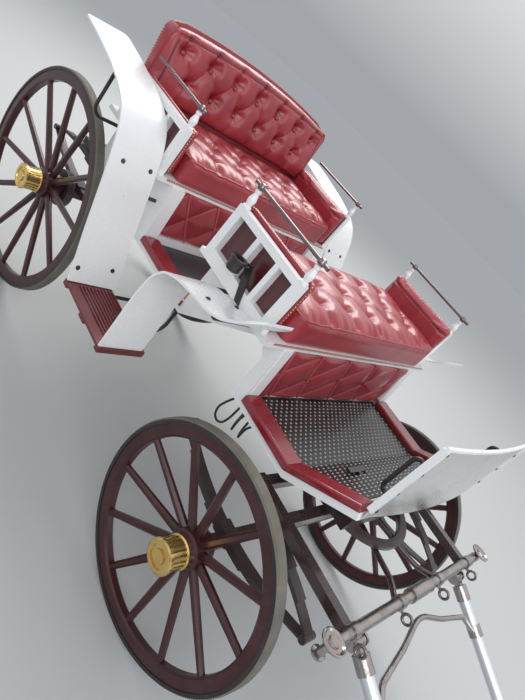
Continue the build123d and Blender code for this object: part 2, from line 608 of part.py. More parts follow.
spindles, irons = [], []
for name, (x, front, rear, mullions, board_front, board_rear) in SEATS.items():
    board = block(-x - FRAME_T / 2, x + FRAME_T / 2, board_front, board_rear, SEAT_Z, SEAT_Z + SEAT_T)
    frame = seat_frame(x, front, rear, mullions)
    posts = (front + POST_W / 2, rear - POST_W / 2) if name == "front" else (front + POST_W / 2,)
    overhang = 24.0
    iron_end = rear + overhang - 6 if name == "front" else rear - 34
    iron = rod((x, front - overhang + 8, IRON_Z), (x, iron_end, IRON_Z), IRON_R)
    post_tops = [Pos(x, y, FRAME_TOP) * spindle() - iron for y in posts]
    place(name + "_seat_frame", both(frame), board)
    spindles += [both(post) for post in post_tops]
    irons.append(both(iron))
    panel_x = x - FRAME_T / 2
    panel = block(panel_x - PANEL_T, panel_x, front + 6, rear - 6, SEAT_Z + SEAT_T, FRAME_TOP - 6)
    place(name + "_seat_panels", both(panel))

place("seat_spindles", *spindles)
place("seat_rails", *irons)

ARM_PAD = 52.0
SOFT_GAP = 0.3
arm_rows = (
    # name, panel inner X, front Y, rear Y, top Z
    ("front", SEATS["front"][0] - FRAME_T / 2 - PANEL_T, 372.0, 786.0, FRAME_TOP + 20),
    ("rear", SEATS["rear"][0] - FRAME_T / 2 - PANEL_T, 1256.0, 1628.0, FRAME_TOP + 8),
)
arm_pads = []
for name, x, y0, y1, top in arm_rows:
    pad = block(x - ARM_PAD, x - SOFT_GAP, y0, y1, SEAT_Z + SEAT_T + SOFT_GAP, top)
    pad = fillet(pad.edges().filter_by(Axis.Y).group_by(Axis.Z)[-1], 18)
    arm_pads.append(both(pad))
    half = x - ARM_PAD - SOFT_GAP
    front_y = SEATS[name][4] + 2
    rear_y = y1 if name == "front" else 1700.0
    cushion = block(-half, half, front_y, rear_y, SEAT_Z + SEAT_T + SOFT_GAP, CUSHION_TOP)
    cushion = fillet(cushion.edges().group_by(Axis.Z)[-1], 22)
    place(name + "_cushion", cushion)
place("arm_pads", *arm_pads)

# Rear back: padded front with a bowed top, on a white panel with side returns
BACK_LOW = SEAT_Z + SEAT_T + 2
BACK_TOP = 1545.0
BACK_CROWN = 1588.0
BACK_LEAN = 62.0
BACK_Y = 1711.0              # front of the white panel at the seat
PAD_T = 70.0
BACK_T = 14.0


def back_slab(half, low, rise, y_low, thick):
    """A leaning slab with a bowed top edge; its front face starts at y_low."""
    top = BACK_TOP + rise
    crown = BACK_CROWN + rise
    edge = Polyline((-half, 0, top), (-half, 0, low), (half, 0, low), (half, 0, top))
    edge += ThreePointArc((half, 0, top), (0, 0, crown), (-half, 0, top))
    slab = extrude(make_face(edge), thick, dir=(0, 1, 0))
    return Pos(0, y_low, low) * (Rot(-degrees(lean), 0, 0) * (Pos(0, 0, -low) * slab))


lean = atan2(BACK_LEAN, BACK_TOP - BACK_LOW)
back_panel = back_slab(BACK_HALF, BACK_LOW, 0, BACK_Y, BACK_T)
PAD_LOW = CUSHION_TOP + 4
pad_y = BACK_Y + (PAD_LOW - BACK_LOW) * tan(lean) - (PAD_T + SOFT_GAP) / cos(lean)
back_pad = back_slab(BACK_HALF - 26, PAD_LOW, -6, pad_y, PAD_T)
place("back_pad", back_pad)
return_x = BACK_HALF - 24
back_return = side_plate(return_x, BACK_HALF, [
    (1640.0, FRAME_TOP + 10), (1746.0, FRAME_TOP + 10), (1776.0, BACK_TOP - 4), (1690.0, BACK_TOP - 4),
])
place("back_panel", back_panel + both(back_return).solids())


# Dash: a thin bright sheet bowed forward, in a white edge strip
DASH_HALF = 516.0
DASH_BOW = 34.0
DASH_T = 4.0
DASH_LOW = 980.0
DASH_TOP = 1315.0
DASH_Y = -240.0


def bowed_sheet(y, thick, low, top, half):
    outer = ThreePointArc((-half, y, 0), (0, y - DASH_BOW, 0), (half, y, 0))
    inner = ThreePointArc((half, y + thick, 0), (0, y - DASH_BOW + thick, 0), (-half, y + thick, 0))
    edge = outer + Line((half, y, 0), (half, y + thick, 0)) + inner
    edge += Line((-half, y + thick, 0), (-half, y, 0))
    return Pos(0, 0, low) * extrude(make_face(edge), top - low, dir=(0, 0, 1))


dash = bowed_sheet(DASH_Y, DASH_T, DASH_LOW, DASH_TOP, DASH_HALF)
place("dash", dash)
top_strip = bowed_sheet(DASH_Y - 3, 12, DASH_TOP, DASH_TOP + 10, DASH_HALF + 12)
end_strip = block(DASH_HALF, DASH_HALF + 16, DASH_Y - 8, DASH_Y + 14, DASH_LOW - 6, DASH_TOP)
end_strip -= front_floor + side_plate(inside - 20, sill_out + 1, [
    (DASH_FOOT_Y - 60, DASH_FOOT_Z - 120), (DASH_FOOT_Y + 60, DASH_FOOT_Z - 120),
    (DASH_FOOT_Y + lip[0], DASH_FOOT_Z + lip[1]), (DASH_FOOT_Y - 60, DASH_FOOT_Z + lip[1]),
])
place("dash_edge", top_strip + both(end_strip).solids())

HANDLE_X = 400.0
handle = tube_path(
    [
        (HANDLE_X, DASH_Y - 12, 1192), (HANDLE_X, -176.0, 1192), (HANDLE_X, -176.0, 1032),
        (HANDLE_X, DASH_Y - 12, 1032),
    ],
    [22.0, 22.0], 8.0)
place("grab_handles", both(handle - dash))

pedal_y = -96.0
pedal_z = FRONT_FLOOR_Z + (CREASE_Y - pedal_y) * tan(toe_slope)
PEDAL_X = -205.0
pedal = rod((PEDAL_X, pedal_y, pedal_z - 4), (PEDAL_X, -40.0, 896.0), 6)
pedal += block(PEDAL_X - 62, PEDAL_X + 62, -52.0, -30.0, 892.0, 904.0)
place("brake_pedal", pedal - front_floor - front_mat)


# Wings. Rows: Y and Z along the middle of each wing's plate, from the step up; a rear wing's
# rows are Y from the rear axle
FRONT_WING = (
    (712.0, STEP_Z + WING_SIT), (716.0, 760.0), (721.0, 880.0), (713.0, 985.0), (680.0, 1040.0),
    (610.0, 1069.0), (520.0, 1086.0), (440.0, 1098.0), (385.0, 1120.0), (335.0, 1160.0), (262.0, 1238.0),
)
REAR_WING = (
    (-887.0, STEP_Z + WING_SIT + 2.0), (-844.0, 745.0), (-802.0, 835.0), (-762.0, 932.0), (-724.0, 1025.0),
    (-682.0, 1115.0), (-642.0, 1192.0), (-590.0, 1248.0), (-514.0, 1283.0), (-394.0, 1310.0),
    (-284.0, 1325.0), (-184.0, 1337.0), (0.0, 1352.0),
)
FRONT_WING_IN = FRONT_FRAME_X + FRAME_T / 2 + WING_GAP
REAR_WING_IN = SEATS["rear"][0] + FRAME_T / 2 + WING_GAP
FRONT_WING_TIP = 278.0
REAR_WING_END = (-76.0, -26.0)   # outer and inner end from the rear axle


def wing(points, in_x, out_x):
    """A bent plate along rounded straight runs."""
    corners = len(points) - 2
    radii = []
    for i in range(corners):
        a, b, c = points[i], points[i + 1], points[i + 2]
        turn = abs(atan2(b[1] - a[1], b[0] - a[0]) - atan2(c[1] - b[1], c[0] - b[0]))
        turn = min(turn, 2 * pi - turn)
        short = min(hypot(b[0] - a[0], b[1] - a[1]), hypot(c[0] - b[0], c[1] - b[1]))
        radii.append(0.45 * short / tan(max(turn, 0.02) / 2))
    line = FilletPolyline(*[(0, y, z) for y, z in points], radius=radii)
    across = Plane(origin=line @ 0, x_dir=(1, 0, 0), z_dir=line % 0)
    plate = sweep(across * Rectangle(out_x - in_x, WING_T), path=line)
    return Pos((in_x + out_x) / 2, 0, 0) * plate


def plan(points, corners, radius):
    """An upright block with the given plan outline; the named corners are rounded."""
    outline = make_face(Polyline(*[(x, y, 0) for x, y in points], close=True))
    places = [points[i] for i in corners]
    sharp = [v for v in outline.vertices() if min(hypot(v.X - x, v.Y - y) for x, y in places) < 1]
    return Pos(0, 0, 400) * extrude(fillet(sharp, radius), 1200)


rear_wing_rows = [(WHEELBASE + y, z) for y, z in REAR_WING]
front_wing = wing(FRONT_WING, FRONT_WING_IN, WING_OUT_X) & plan([
    (FRONT_WING_IN - 1, FRONT_WING_TIP), (WING_OUT_X + 1, FRONT_WING_TIP), (WING_OUT_X + 1, 900.0),
    (FRONT_WING_IN - 1, 900.0),
], (0, 1), 42.0)
rear_wing = wing(rear_wing_rows, REAR_WING_IN, WING_OUT_X) & plan([
    (REAR_WING_IN - 1, WHEELBASE + REAR_WING_END[1]), (WING_OUT_X + 1, WHEELBASE + REAR_WING_END[0]),
    (WING_OUT_X + 1, WHEELBASE - 1000.0), (REAR_WING_IN - 1, WHEELBASE - 1000.0),
], (0, 1), 26.0)
place("front_wings", both(front_wing))
place("rear_wings", both(rear_wing))

# Steps: a broad outer bar and slats over three cross bars
SLATS = 10
SLAT_W = 9.0
SLAT_T = 12.0
OUTER_BAR = 43.0
CROSS_T = 24.0
step_front, step_rear = FRONT_WING[0][0] - 12, rear_wing_rows[0][0] + 14
step_cross = ((step_front, 26.0), (step_front + 142, 46.0), (step_rear - 31, 31.0))
slat_pitch = (WING_OUT_X - OUTER_BAR - STEP_IN_X + (17 - 2 * SLAT_W) / 2) / SLATS
step = block(WING_OUT_X - OUTER_BAR, WING_OUT_X, step_front, step_rear, STEP_Z - SLAT_T, STEP_Z)
for i in range(SLATS):
    x = STEP_IN_X + i * slat_pitch
    step += block(x, x + SLAT_W, step_front, step_rear, STEP_Z - SLAT_T, STEP_Z)
for y, wide in step_cross:
    top = STEP_Z if wide < 40 else STEP_Z - SLAT_T + 1
    step += block(STEP_IN_X, WING_OUT_X, y, y + wide, STEP_Z - CROSS_T, top)
place("steps", both(step))

# Irons that carry the wings and steps from the body
IRON_ROD_R = 8.0
step_irons = []
for y, wide in step_cross[1:]:
    at = y + wide / 2
    low_z = STEP_Z - CROSS_T - IRON_ROD_R
    step_irons.append(both(tube_path(
        [(inside - 60, at, REAR_FOOT_Z), (inside - 60, at, low_z), (WING_OUT_X - 30, at, low_z)],
        [60.0], IRON_ROD_R)))
wing_mid = (REAR_WING_IN + WING_OUT_X) / 2
rear_iron = tube_path(
    [(BODY_X, 1660.0, 1060.0), (wing_mid, 1660.0, 1060.0), (wing_mid, 1660.0, 1325.0)], [50.0], IRON_ROD_R)
back_stay = tube_path(
    [(BODY_X, 1268.0, 980.0), (wing_mid, 1268.0, 980.0), (wing_mid, 1190.0, 980.0)], [30.0], IRON_ROD_R)
front_stay = rod((BODY_X, 640.0, 1049.0), (WING_OUT_X - 50, 640.0, 1049.0), IRON_ROD_R)
tip_stay = tube_path(
    [(BODY_X, 500.0, 1032.0), (wing_mid, 500.0, 1032.0), (wing_mid, 500.0, 1088.0)], [25.0], IRON_ROD_R)
place(
    "wing_irons", *step_irons, both(rear_iron - rear_wing), both(back_stay - rear_wing),
    both(front_stay - front_wing), both(tip_stay - front_wing))

# Lamp sockets on flat irons beside the front seat
LAMP_X, LAMP_Y, LAMP_Z = 700.0, 600.0, 1166.0
LAMP_BORE_R = 19.0
LAMP_BORE_L = 44.0
socket = turned([
    (0, 0), (22, 0), (26, 5), (26, 38), (31, 42), (31, 6 + LAMP_BORE_L), (LAMP_BORE_R, 6 + LAMP_BORE_L),
    (LAMP_BORE_R, 6), (0, 6),
])
flat_x = FRONT_FRAME_X + FRAME_T / 2
flat = side_plate(flat_x, flat_x + 6, [
    (512.0, 1092.0), (540.0, 1092.0), (594.0, 1192.0), (594.0, 1212.0), (572.0, 1216.0), (562.0, 1204.0),
])
arm = rod((flat_x + 3, 582.0, 1202.0), (LAMP_X - 20, LAMP_Y - 4, LAMP_Z + 32), 6.0)
arm -= Pos(LAMP_X, LAMP_Y, LAMP_Z + 6) * Cylinder(
    LAMP_BORE_R, 100, align=(Align.CENTER, Align.CENTER, Align.MIN))
lamp_holder = flat + arm + Pos(LAMP_X, LAMP_Y, LAMP_Z) * socket
place("lamp_sockets", both(lamp_holder))

# Chassis rails from the middle floor back over the rear axle
RAIL_W = 40.0
RAIL_FRONT_Y = 830.0
RAIL_PAST = 146.0            # how far the rails run past the rear axle
RAIL_Z = (REAR_SPRING_TOP, REAR_FOOT_Z)
rail_end = WHEELBASE + RAIL_PAST
chassis = block(REAR_SPRING_X - RAIL_W / 2, REAR_SPRING_X + RAIL_W / 2, RAIL_FRONT_Y, rail_end, *RAIL_Z)
chassis_cross = block(-REAR_SPRING_X, REAR_SPRING_X, rail_end - RAIL_W, rail_end, *RAIL_Z)
place("chassis_rails", chassis + mirror(chassis, about=Plane.YZ) + chassis_cross)

# Brake pipes that leave the front floor on the right side, bow out and go back up
PIPE_R = 4.5
pipe_top = FRONT_FLOOR_Z - FLOOR_T + 2
PIPE_ROWS = (
    # points from the outer hole to the inner hole; the first and the last get the floor's height
    ((-515, 349), (-515, 372, 770), (-515, 385, 724), (-506, 378, 686), (-489, 362, 666), (-471, 350, 670),
     (-461, 346, 702), (-458, 346, 762), (-458, 346)),
    ((-515, 278), (-515, 285, 778), (-512, 284, 740), (-501, 286, 714), (-485, 296, 705), (-471, 308, 720),
     (-465, 314, 760), (-464, 314)),
    ((-515, 221), (-515, 240, 780), (-512, 242, 746), (-501, 245, 722), (-486, 255, 713), (-474, 267, 728),
     (-469, 274, 768), (-468, 274)),
)
pipes = []
for row in PIPE_ROWS:
    points = [Vector(*row[0], pipe_top)] + [Vector(*p) for p in row[1:-1]] + [Vector(*row[-1], pipe_top)]
    radii = []
    for a, b, c in zip(points, points[1:], points[2:]):
        turn = radians((b - a).get_angle(c - b))
        radii.append(0.45 * min((b - a).length, (c - b).length) / tan(turn / 2))
    pipes.append(tube_path(points, radii, PIPE_R) - front_floor - front_box)
place("brake_pipes", *pipes)

# Everything moves along Y, so that the origin is under the middle of the length
REAR_END = WHEELBASE + REAR_WHEEL_R + TYRE_W / 2 * tan(radians(CAMBER))
SHIFT = -(REAR_END + SHAFT_TIP_Y - SHAFT_R) / 2

if __name__ == "__main__":
    os.makedirs("parts", exist_ok=True)
    for node, shape in parts.items():
        export_step(Pos(0, SHIFT, 0) * shape, "parts/" + node + ".step")
    print("nodes", len(parts), "shift", round(SHIFT, 2))
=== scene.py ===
import bpy
import bmesh
import json
import math
import numpy as np
from mathutils import Matrix, Vector

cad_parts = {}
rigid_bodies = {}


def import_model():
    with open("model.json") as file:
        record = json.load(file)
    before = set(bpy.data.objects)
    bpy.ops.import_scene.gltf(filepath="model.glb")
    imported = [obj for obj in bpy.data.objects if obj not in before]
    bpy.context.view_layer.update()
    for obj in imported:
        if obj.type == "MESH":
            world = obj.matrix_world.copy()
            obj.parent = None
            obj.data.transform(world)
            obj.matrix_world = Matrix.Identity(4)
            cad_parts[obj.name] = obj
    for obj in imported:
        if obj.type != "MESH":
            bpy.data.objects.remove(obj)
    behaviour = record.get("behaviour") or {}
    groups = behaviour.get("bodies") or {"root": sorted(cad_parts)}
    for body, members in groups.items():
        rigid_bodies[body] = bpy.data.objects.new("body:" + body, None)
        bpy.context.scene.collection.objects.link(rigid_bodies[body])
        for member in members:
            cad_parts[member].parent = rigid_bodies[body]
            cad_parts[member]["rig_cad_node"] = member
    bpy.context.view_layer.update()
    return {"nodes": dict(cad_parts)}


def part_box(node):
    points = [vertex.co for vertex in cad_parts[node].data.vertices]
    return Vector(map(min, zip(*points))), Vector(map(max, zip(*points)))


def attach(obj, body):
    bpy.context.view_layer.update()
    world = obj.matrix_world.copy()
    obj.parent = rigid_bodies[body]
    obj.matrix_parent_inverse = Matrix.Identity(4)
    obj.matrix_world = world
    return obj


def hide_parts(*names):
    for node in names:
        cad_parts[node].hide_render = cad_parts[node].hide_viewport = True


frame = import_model()
nodes = frame["nodes"]
scene = bpy.context.scene
scene.view_settings.view_transform = "Standard"

# The solids' Y was moved by this much from the front axle
shiftY = 0.114788


def mm(x, y, z):
    # a place in millimetres, with Y counted from the front axle
    return Vector((x / 1000, y / 1000 + shiftY, z / 1000))


# Camera

cameraSettings = {
    "place": mm(-2075, -507, 1814), "turn": (2.1633, -0.3072, 1.1071), "focalPixels": 567.25,
    "imageHeight": 700, "sensor": 24.0,
}


def addCamera():
    data = bpy.data.cameras.new("camera")
    data.sensor_fit = "VERTICAL"
    data.sensor_height = cameraSettings["sensor"]
    data.lens = cameraSettings["focalPixels"] * data.sensor_height / cameraSettings["imageHeight"]
    data.clip_end = 100
    camera = bpy.data.objects.new("camera", data)
    scene.collection.objects.link(camera)
    turn = Vector(cameraSettings["turn"])
    worldToCam = Matrix.Rotation(turn.length, 3, turn.normalized())
    flip = Matrix(((1, 0, 0), (0, -1, 0), (0, 0, -1)))
    rotation = worldToCam.transposed() @ flip
    camera.matrix_world = Matrix.Translation(cameraSettings["place"]) @ rotation.to_4x4()
    scene.camera = camera


# Modelling helpers

def clearSelection():
    if bpy.context.mode != "OBJECT":
        bpy.ops.object.mode_set(mode="OBJECT")
    bpy.ops.object.select_all(action="DESELECT")


def pick(piece):
    clearSelection()
    piece.select_set(True)
    bpy.context.view_layer.objects.active = piece


def fresh(name):
    # the primitive that was just added
    piece = bpy.context.active_object
    piece.name = name
    return piece


def settle(piece):
    # size, turn and place go into the mesh
    pick(piece)
    bpy.ops.object.transform_apply(location=True, rotation=True, scale=True)


def openEdit(piece, action="SELECT"):
    # edit mode, with all of the mesh selected or nothing
    pick(piece)
    bpy.ops.object.mode_set(mode="EDIT")
    bpy.ops.mesh.select_all(action=action)


def closeEdit():
    bpy.ops.object.mode_set(mode="OBJECT")


def selectIn(piece, kind, test):
    # opens edit mode with the faces or edges for which test is true
    openEdit(piece, "DESELECT")
    bpy.ops.mesh.select_mode(type={"faces": "FACE", "edges": "EDGE"}[kind])
    shape = bmesh.from_edit_mesh(piece.data)
    for item in getattr(shape, kind):
        if test(item):
            item.select_set(True)
    bmesh.update_edit_mesh(piece.data)


def applyModifier(piece, kind, **values):
    modifier = piece.modifiers.new(kind.lower(), kind)
    for key, value in values.items():
        setattr(modifier, key, value)
    pick(piece)
    bpy.ops.object.modifier_apply(modifier=modifier.name)


def readPoints(piece, what="co"):
    # the points' places, or their normals
    flat = np.zeros(len(piece.data.vertices) * 3, np.float32)
    piece.data.vertices.foreach_get(what, flat)
    return flat.reshape(-1, 3).astype(float)


def movePoints(piece, points):
    piece.data.vertices.foreach_set("co", points.astype(np.float32).ravel())
    piece.data.update()


def basis(origin, across, up, out):
    # a frame to stand a flat-made piece in: its X, Y and Z and where its corner goes
    matrix = Matrix((across, up, out)).transposed().to_4x4()
    return Matrix.Translation(origin) @ matrix


def standAt(piece, matrix):
    piece.matrix_world = matrix @ piece.matrix_world
    settle(piece)


def finishPiece(piece, material, angle=None, matrix=None):
    if matrix is not None:
        standAt(piece, matrix)
    piece.data.materials.clear()
    piece.data.materials.append(materials[material])
    pick(piece)
    if angle is None:
        bpy.ops.object.shade_smooth()
    else:
        bpy.ops.object.shade_smooth_by_angle(angle=math.radians(angle))
    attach(piece, "body")


def twin(piece, name):
    # a copy with a mesh of its own
    copy = piece.copy()
    copy.data = piece.data.copy()
    copy.name = name
    scene.collection.objects.link(copy)
    return copy


def joinPieces(pieces, name):
    clearSelection()
    for piece in pieces:
        piece.select_set(True)
    bpy.context.view_layer.objects.active = pieces[0]
    bpy.ops.object.join()
    return fresh(name)


def repeat(master, matrices, name):
    # one modelled piece, copied to each place and joined, after which the first is removed
    copies = []
    for matrix in matrices:
        copies.append(twin(master, master.name))
        copies[-1].matrix_world = matrix
    bpy.context.view_layer.update()
    joined = joinPieces(copies, name)
    settle(joined)
    bpy.data.objects.remove(master)
    return joined


def makeDome(name, sizes):
    # a flattened ball, cut off low down and closed there
    clearSelection()
    radius, height = sizes["radius"], sizes["height"]
    segments, rings = sizes["mesh"]
    bpy.ops.mesh.primitive_uv_sphere_add(segments=segments, ring_count=rings, radius=radius)
    dome = fresh(name)
    dome.scale = (sizes["across"], 1, height / radius)
    settle(dome)
    selectIn(dome, "faces", lambda face: face.calc_center_median().z < sizes["cut"] * height)
    bpy.ops.mesh.delete(type="FACE")
    bpy.ops.mesh.select_mode(type="EDGE")
    bpy.ops.mesh.select_all(action="DESELECT")
    bpy.ops.mesh.select_non_manifold()
    bpy.ops.mesh.edge_face_add()
    closeEdit()
    return dome


def tubeAlong(name, points, radius, closed=False):
    # a round welt or wire through the points, made a mesh
    data = bpy.data.curves.new(name, "CURVE")
    data.dimensions = "3D"
    data.bevel_depth = radius
    data.bevel_resolution = 2
    data.resolution_u = 2
    data.use_fill_caps = not closed
    line = data.splines.new("NURBS")
    line.points.add(len(points) - 1)
    for target, point in zip(line.points, points):
        target.co = (*point, 1)
    line.order_u = 3
    line.use_cyclic_u = closed
    line.use_endpoint_u = not closed
    tube = bpy.data.objects.new(name, data)
    scene.collection.objects.link(tube)
    pick(tube)
    bpy.ops.object.convert(target="MESH")
    return bpy.context.active_object


# Materials

def newMaterial(name):
    material = bpy.data.materials.new(name)
    material.use_nodes = True
    tree = material.node_tree
    return material, tree, tree.nodes["Principled BSDF"]


def link(tree, source, target):
    tree.links.new(source, target)


def setInputs(node, values):
    for key, value in values.items():
        node.inputs[key].default_value = value


def newNode(tree, kind, values=None):
    node = tree.nodes.new("ShaderNode" + kind)
    setInputs(node, values or {})
    return node


def coordinates(tree, scale=(1, 1, 1)):
    place = newNode(tree, "TexCoord")
    mapping = newNode(tree, "Mapping", {"Scale": scale})
    link(tree, place.outputs["Object"], mapping.inputs["Vector"])
    return mapping.outputs["Vector"]


def noise(tree, vector, scale, detail, roughness=0.55):
    node = newNode(tree, "TexNoise", {"Scale": scale, "Detail": detail, "Roughness": roughness})
    link(tree, vector, node.inputs["Vector"])
    return node.outputs["Fac"]


def cells(tree, vector, scale):
    node = newNode(tree, "TexVoronoi", {"Scale": scale})
    node.feature = "DISTANCE_TO_EDGE"
    link(tree, vector, node.inputs["Vector"])
    return node.outputs["Distance"]


def remap(tree, value, low, high, outLow=0.0, outHigh=1.0):
    values = {"From Min": low, "From Max": high, "To Min": outLow, "To Max": outHigh}
    node = newNode(tree, "MapRange", values)
    link(tree, value, node.inputs["Value"])
    return node.outputs["Result"]


def blendColours(tree, factor, first, second):
    node = newNode(tree, "Mix")
    node.data_type = "RGBA"
    link(tree, factor, node.inputs["Factor"])
    for socket, colour in ((node.inputs[6], first), (node.inputs[7], second)):
        if isinstance(colour, tuple):
            socket.default_value = (*colour, 1)
        else:
            link(tree, colour, socket)
    return node.outputs[2]


def combine(tree, first, second, operation="MULTIPLY"):
    node = newNode(tree, "Math")
    node.operation = operation
    for socket, value in ((node.inputs[0], first), (node.inputs[1], second)):
        if isinstance(value, (int, float)):
            socket.default_value = value
        else:
            link(tree, value, socket)
    return node.outputs[0]


def bump(tree, shader, height, strength, distance):
    node = newNode(tree, "Bump", {"Strength": strength, "Distance": distance})
    link(tree, height, node.inputs["Height"])
    link(tree, node.outputs["Normal"], shader.inputs["Normal"])


def heightAbove(tree, kind="Object"):
    place = newNode(tree, "TexCoord")
    split = newNode(tree, "SeparateXYZ")
    link(tree, place.outputs[kind], split.inputs[0])
    return split.outputs["Z"]


def mottle(tree, first, firstSpan, second, secondSpan):
    # high where two noises are both high
    return combine(tree, remap(tree, first, *firstSpan), remap(tree, second, *secondSpan))


def setRoughness(tree, shader, value, span):
    link(tree, remap(tree, value, 0.3, 0.7, *span), shader.inputs["Roughness"])


def paintMaterial(name, colour, dirt, settings):
    # gloss paint: slow colour change, dust that settles low down, specks and slight brush waves
    material, tree, shader = newMaterial(name)
    vector = coordinates(tree)
    slow = noise(tree, vector, settings["patchScale"], 3)
    speck = noise(tree, vector, settings["speckScale"], 6, 0.7)
    low = remap(tree, heightAbove(tree), settings["dirtTop"], settings["dirtTop"] - 0.5)
    amount = mottle(tree, slow, (0.45, 0.75), speck, (0.42, 0.62))
    amount = combine(tree, amount, combine(tree, low, 0.7), "ADD")
    amount = combine(tree, amount, settings["dirt"])
    link(tree, blendColours(tree, amount, colour, dirt), shader.inputs["Base Color"])
    setRoughness(tree, shader, speck, settings["roughness"])
    setInputs(shader, {"Coat Weight": settings["coat"], "Coat Roughness": 0.12})
    bump(tree, shader, noise(tree, vector, settings["waveScale"], 3), settings["waveStrength"], 0.0006)
    return material


def leatherMaterial(name, colour, worn, settings):
    # buttoned hide: grain in fine cells, soft patches of lighter wear and a satin shine
    material, tree, shader = newMaterial(name)
    vector = coordinates(tree)
    grain = cells(tree, vector, settings["grainScale"])
    fine = noise(tree, vector, settings["grainScale"] * 0.8, 5, 0.65)
    patch = noise(tree, vector, settings["patchScale"], 4)
    tone = blendColours(tree, remap(tree, patch, 0.35, 0.72), colour, worn)
    dark = remap(tree, grain, 0.0, 0.08, 0.35, 0.0)
    shade = tuple(c * 0.45 for c in colour)
    link(tree, blendColours(tree, dark, tone, shade), shader.inputs["Base Color"])
    setRoughness(tree, shader, fine, settings["roughness"])
    setInputs(shader, {"Specular IOR Level": settings["specular"]})
    setInputs(shader, {"Coat Weight": settings["coat"], "Coat Roughness": 0.20})
    height = combine(tree, remap(tree, grain, 0.0, 0.12), combine(tree, fine, 0.6), "ADD")
    bump(tree, shader, height, settings["grainDepth"], 0.0005)
    return material


def metalMaterial(name, colour, stain, settings):
    # bare metal: brushed shine under patches of bloom, rust or tarnish
    material, tree, shader = newMaterial(name)
    vector = coordinates(tree)
    patch = noise(tree, vector, settings["patchScale"], 5, 0.65)
    speck = noise(tree, vector, settings["speckScale"], 6, 0.7)
    mask = combine(tree, mottle(tree, patch, (0.42, 0.68), speck, (0.35, 0.6)), settings["stain"])
    link(tree, blendColours(tree, mask, colour, stain), shader.inputs["Base Color"])
    link(tree, remap(tree, mask, 0, 1, *settings["metal"]), shader.inputs["Metallic"])
    shine = remap(tree, speck, 0.3, 0.7, *settings["roughness"])
    rough = combine(tree, shine, combine(tree, mask, 0.3), "ADD")
    link(tree, rough, shader.inputs["Roughness"])
    bump(tree, shader, speck, settings["bump"], 0.0005)
    return material


def rubberMaterial(name, colour, dust, settings):
    # dull rubber under a film of dust, from its thinnest to its thickest
    material, tree, shader = newMaterial(name)
    vector = coordinates(tree)
    patch = noise(tree, vector, settings["patchScale"], 5, 0.6)
    speck = noise(tree, vector, settings["speckScale"], 6, 0.75)
    least, most = settings["dust"]
    amount = combine(tree, mottle(tree, patch, (0.35, 0.7), speck, (0.3, 0.65)), most - least)
    amount = combine(tree, amount, least, "ADD")
    link(tree, blendColours(tree, amount, colour, dust), shader.inputs["Base Color"])
    setRoughness(tree, shader, speck, settings["roughness"])
    bump(tree, shader, speck, settings["bump"], 0.0008)
    return material


def woodMaterial(name, colour, worn, settings):
    # painted or varnished wood: grain lines under the finish, dust and rubbed places
    material, tree, shader = newMaterial(name)
    grain = noise(tree, coordinates(tree, settings["grainStretch"]), settings["grainScale"], 5, 0.6)
    vector = coordinates(tree)
    patch = noise(tree, vector, settings["patchScale"], 4)
    speck = noise(tree, vector, settings["speckScale"], 6, 0.7)
    wear = combine(tree, mottle(tree, patch, (0.40, 0.72), speck, (0.38, 0.62)), settings["wear"])
    tone = blendColours(tree, remap(tree, grain, 0.35, 0.65), colour, tuple(c * 0.68 for c in colour))
    link(tree, blendColours(tree, wear, tone, worn), shader.inputs["Base Color"])
    setRoughness(tree, shader, speck, settings["roughness"])
    setInputs(shader, {"Specular IOR Level": settings["specular"]})
    setInputs(shader, {"Coat Weight": settings["coat"], "Coat Roughness": 0.15})
    bump(tree, shader, grain, settings["grainDepth"], 0.0006)
    return material


def table(heads, rows):
    # a dictionary of settings for each row, with the names at the table's head
    return {name: dict(zip(heads.split(), row)) for name, row in rows.items()}


paints = table("patchScale speckScale dirtTop dirt roughness coat waveScale waveStrength", {
    "white": (2.2, 90, 0.95, 0.07, (0.24, 0.29), 0.35, 5, 0.025),
    "red": (3.0, 120, 0.80, 0.30, (0.16, 0.30), 0.5, 20, 0.15),
    "gear": (7, 130, 0.60, 0.25, (0.20, 0.36), 0.5, 30, 0.2),
    "iron": (9, 150, 0.75, 0.5, (0.30, 0.5), 0.15, 40, 0.25),
})
metals = table("patchScale speckScale stain metal roughness bump", {
    "steel": (16, 190, 0.6, (1.0, 0.5), (0.10, 0.24), 0.07),
    "alloy": (5, 120, 0.25, (1.0, 0.7), (0.34, 0.46), 0.05),
    "brass": (26, 240, 0.45, (1.0, 0.8), (0.10, 0.24), 0.10),
    "dash": (9, 60, 0.25, (1.0, 0.95), (0.16, 0.26), 0.05),
    "nail": (30, 260, 0.5, (1.0, 0.7), (0.18, 0.34), 0.08),
})
rubbers = table("patchScale speckScale dust roughness bump", {
    "tread": (11, 170, (0.35, 0.95), (0.65, 0.85), 0.45),
    "tyre": (10, 150, (0.0, 0.22), (0.34, 0.55), 0.2),
    "mat": (9, 140, (0.0, 0.12), (0.20, 0.36), 0.15),
    "stud": (9, 140, (0.0, 0.25), (0.12, 0.28), 0.05),
})
woods = table("grainStretch grainScale patchScale speckScale wear roughness specular coat grainDepth", {
    "wheel": ((6, 1, 1), 26, 7, 160, 0.28, (0.26, 0.44), 0.3, 0.3, 0.25),
    "braid": ((40, 4, 4), 12, 8, 160, 0.4, (0.55, 0.75), 0.4, 0.0, 0.5),
    "board": ((1, 8, 1), 14, 3, 160, 0.4, (0.4, 0.6), 0.4, 0.1, 0.3),
})
hides = table("grainScale patchScale roughness specular coat grainDepth", {
    "red": (420, 5.5, (0.28, 0.42), 0.5, 0.45, 0.28),
})

materials = {}


def addMaterials(make, settings, rows):
    for key, (name, colour, second, kind) in rows.items():
        materials[key] = make(name, colour, second, settings[kind])


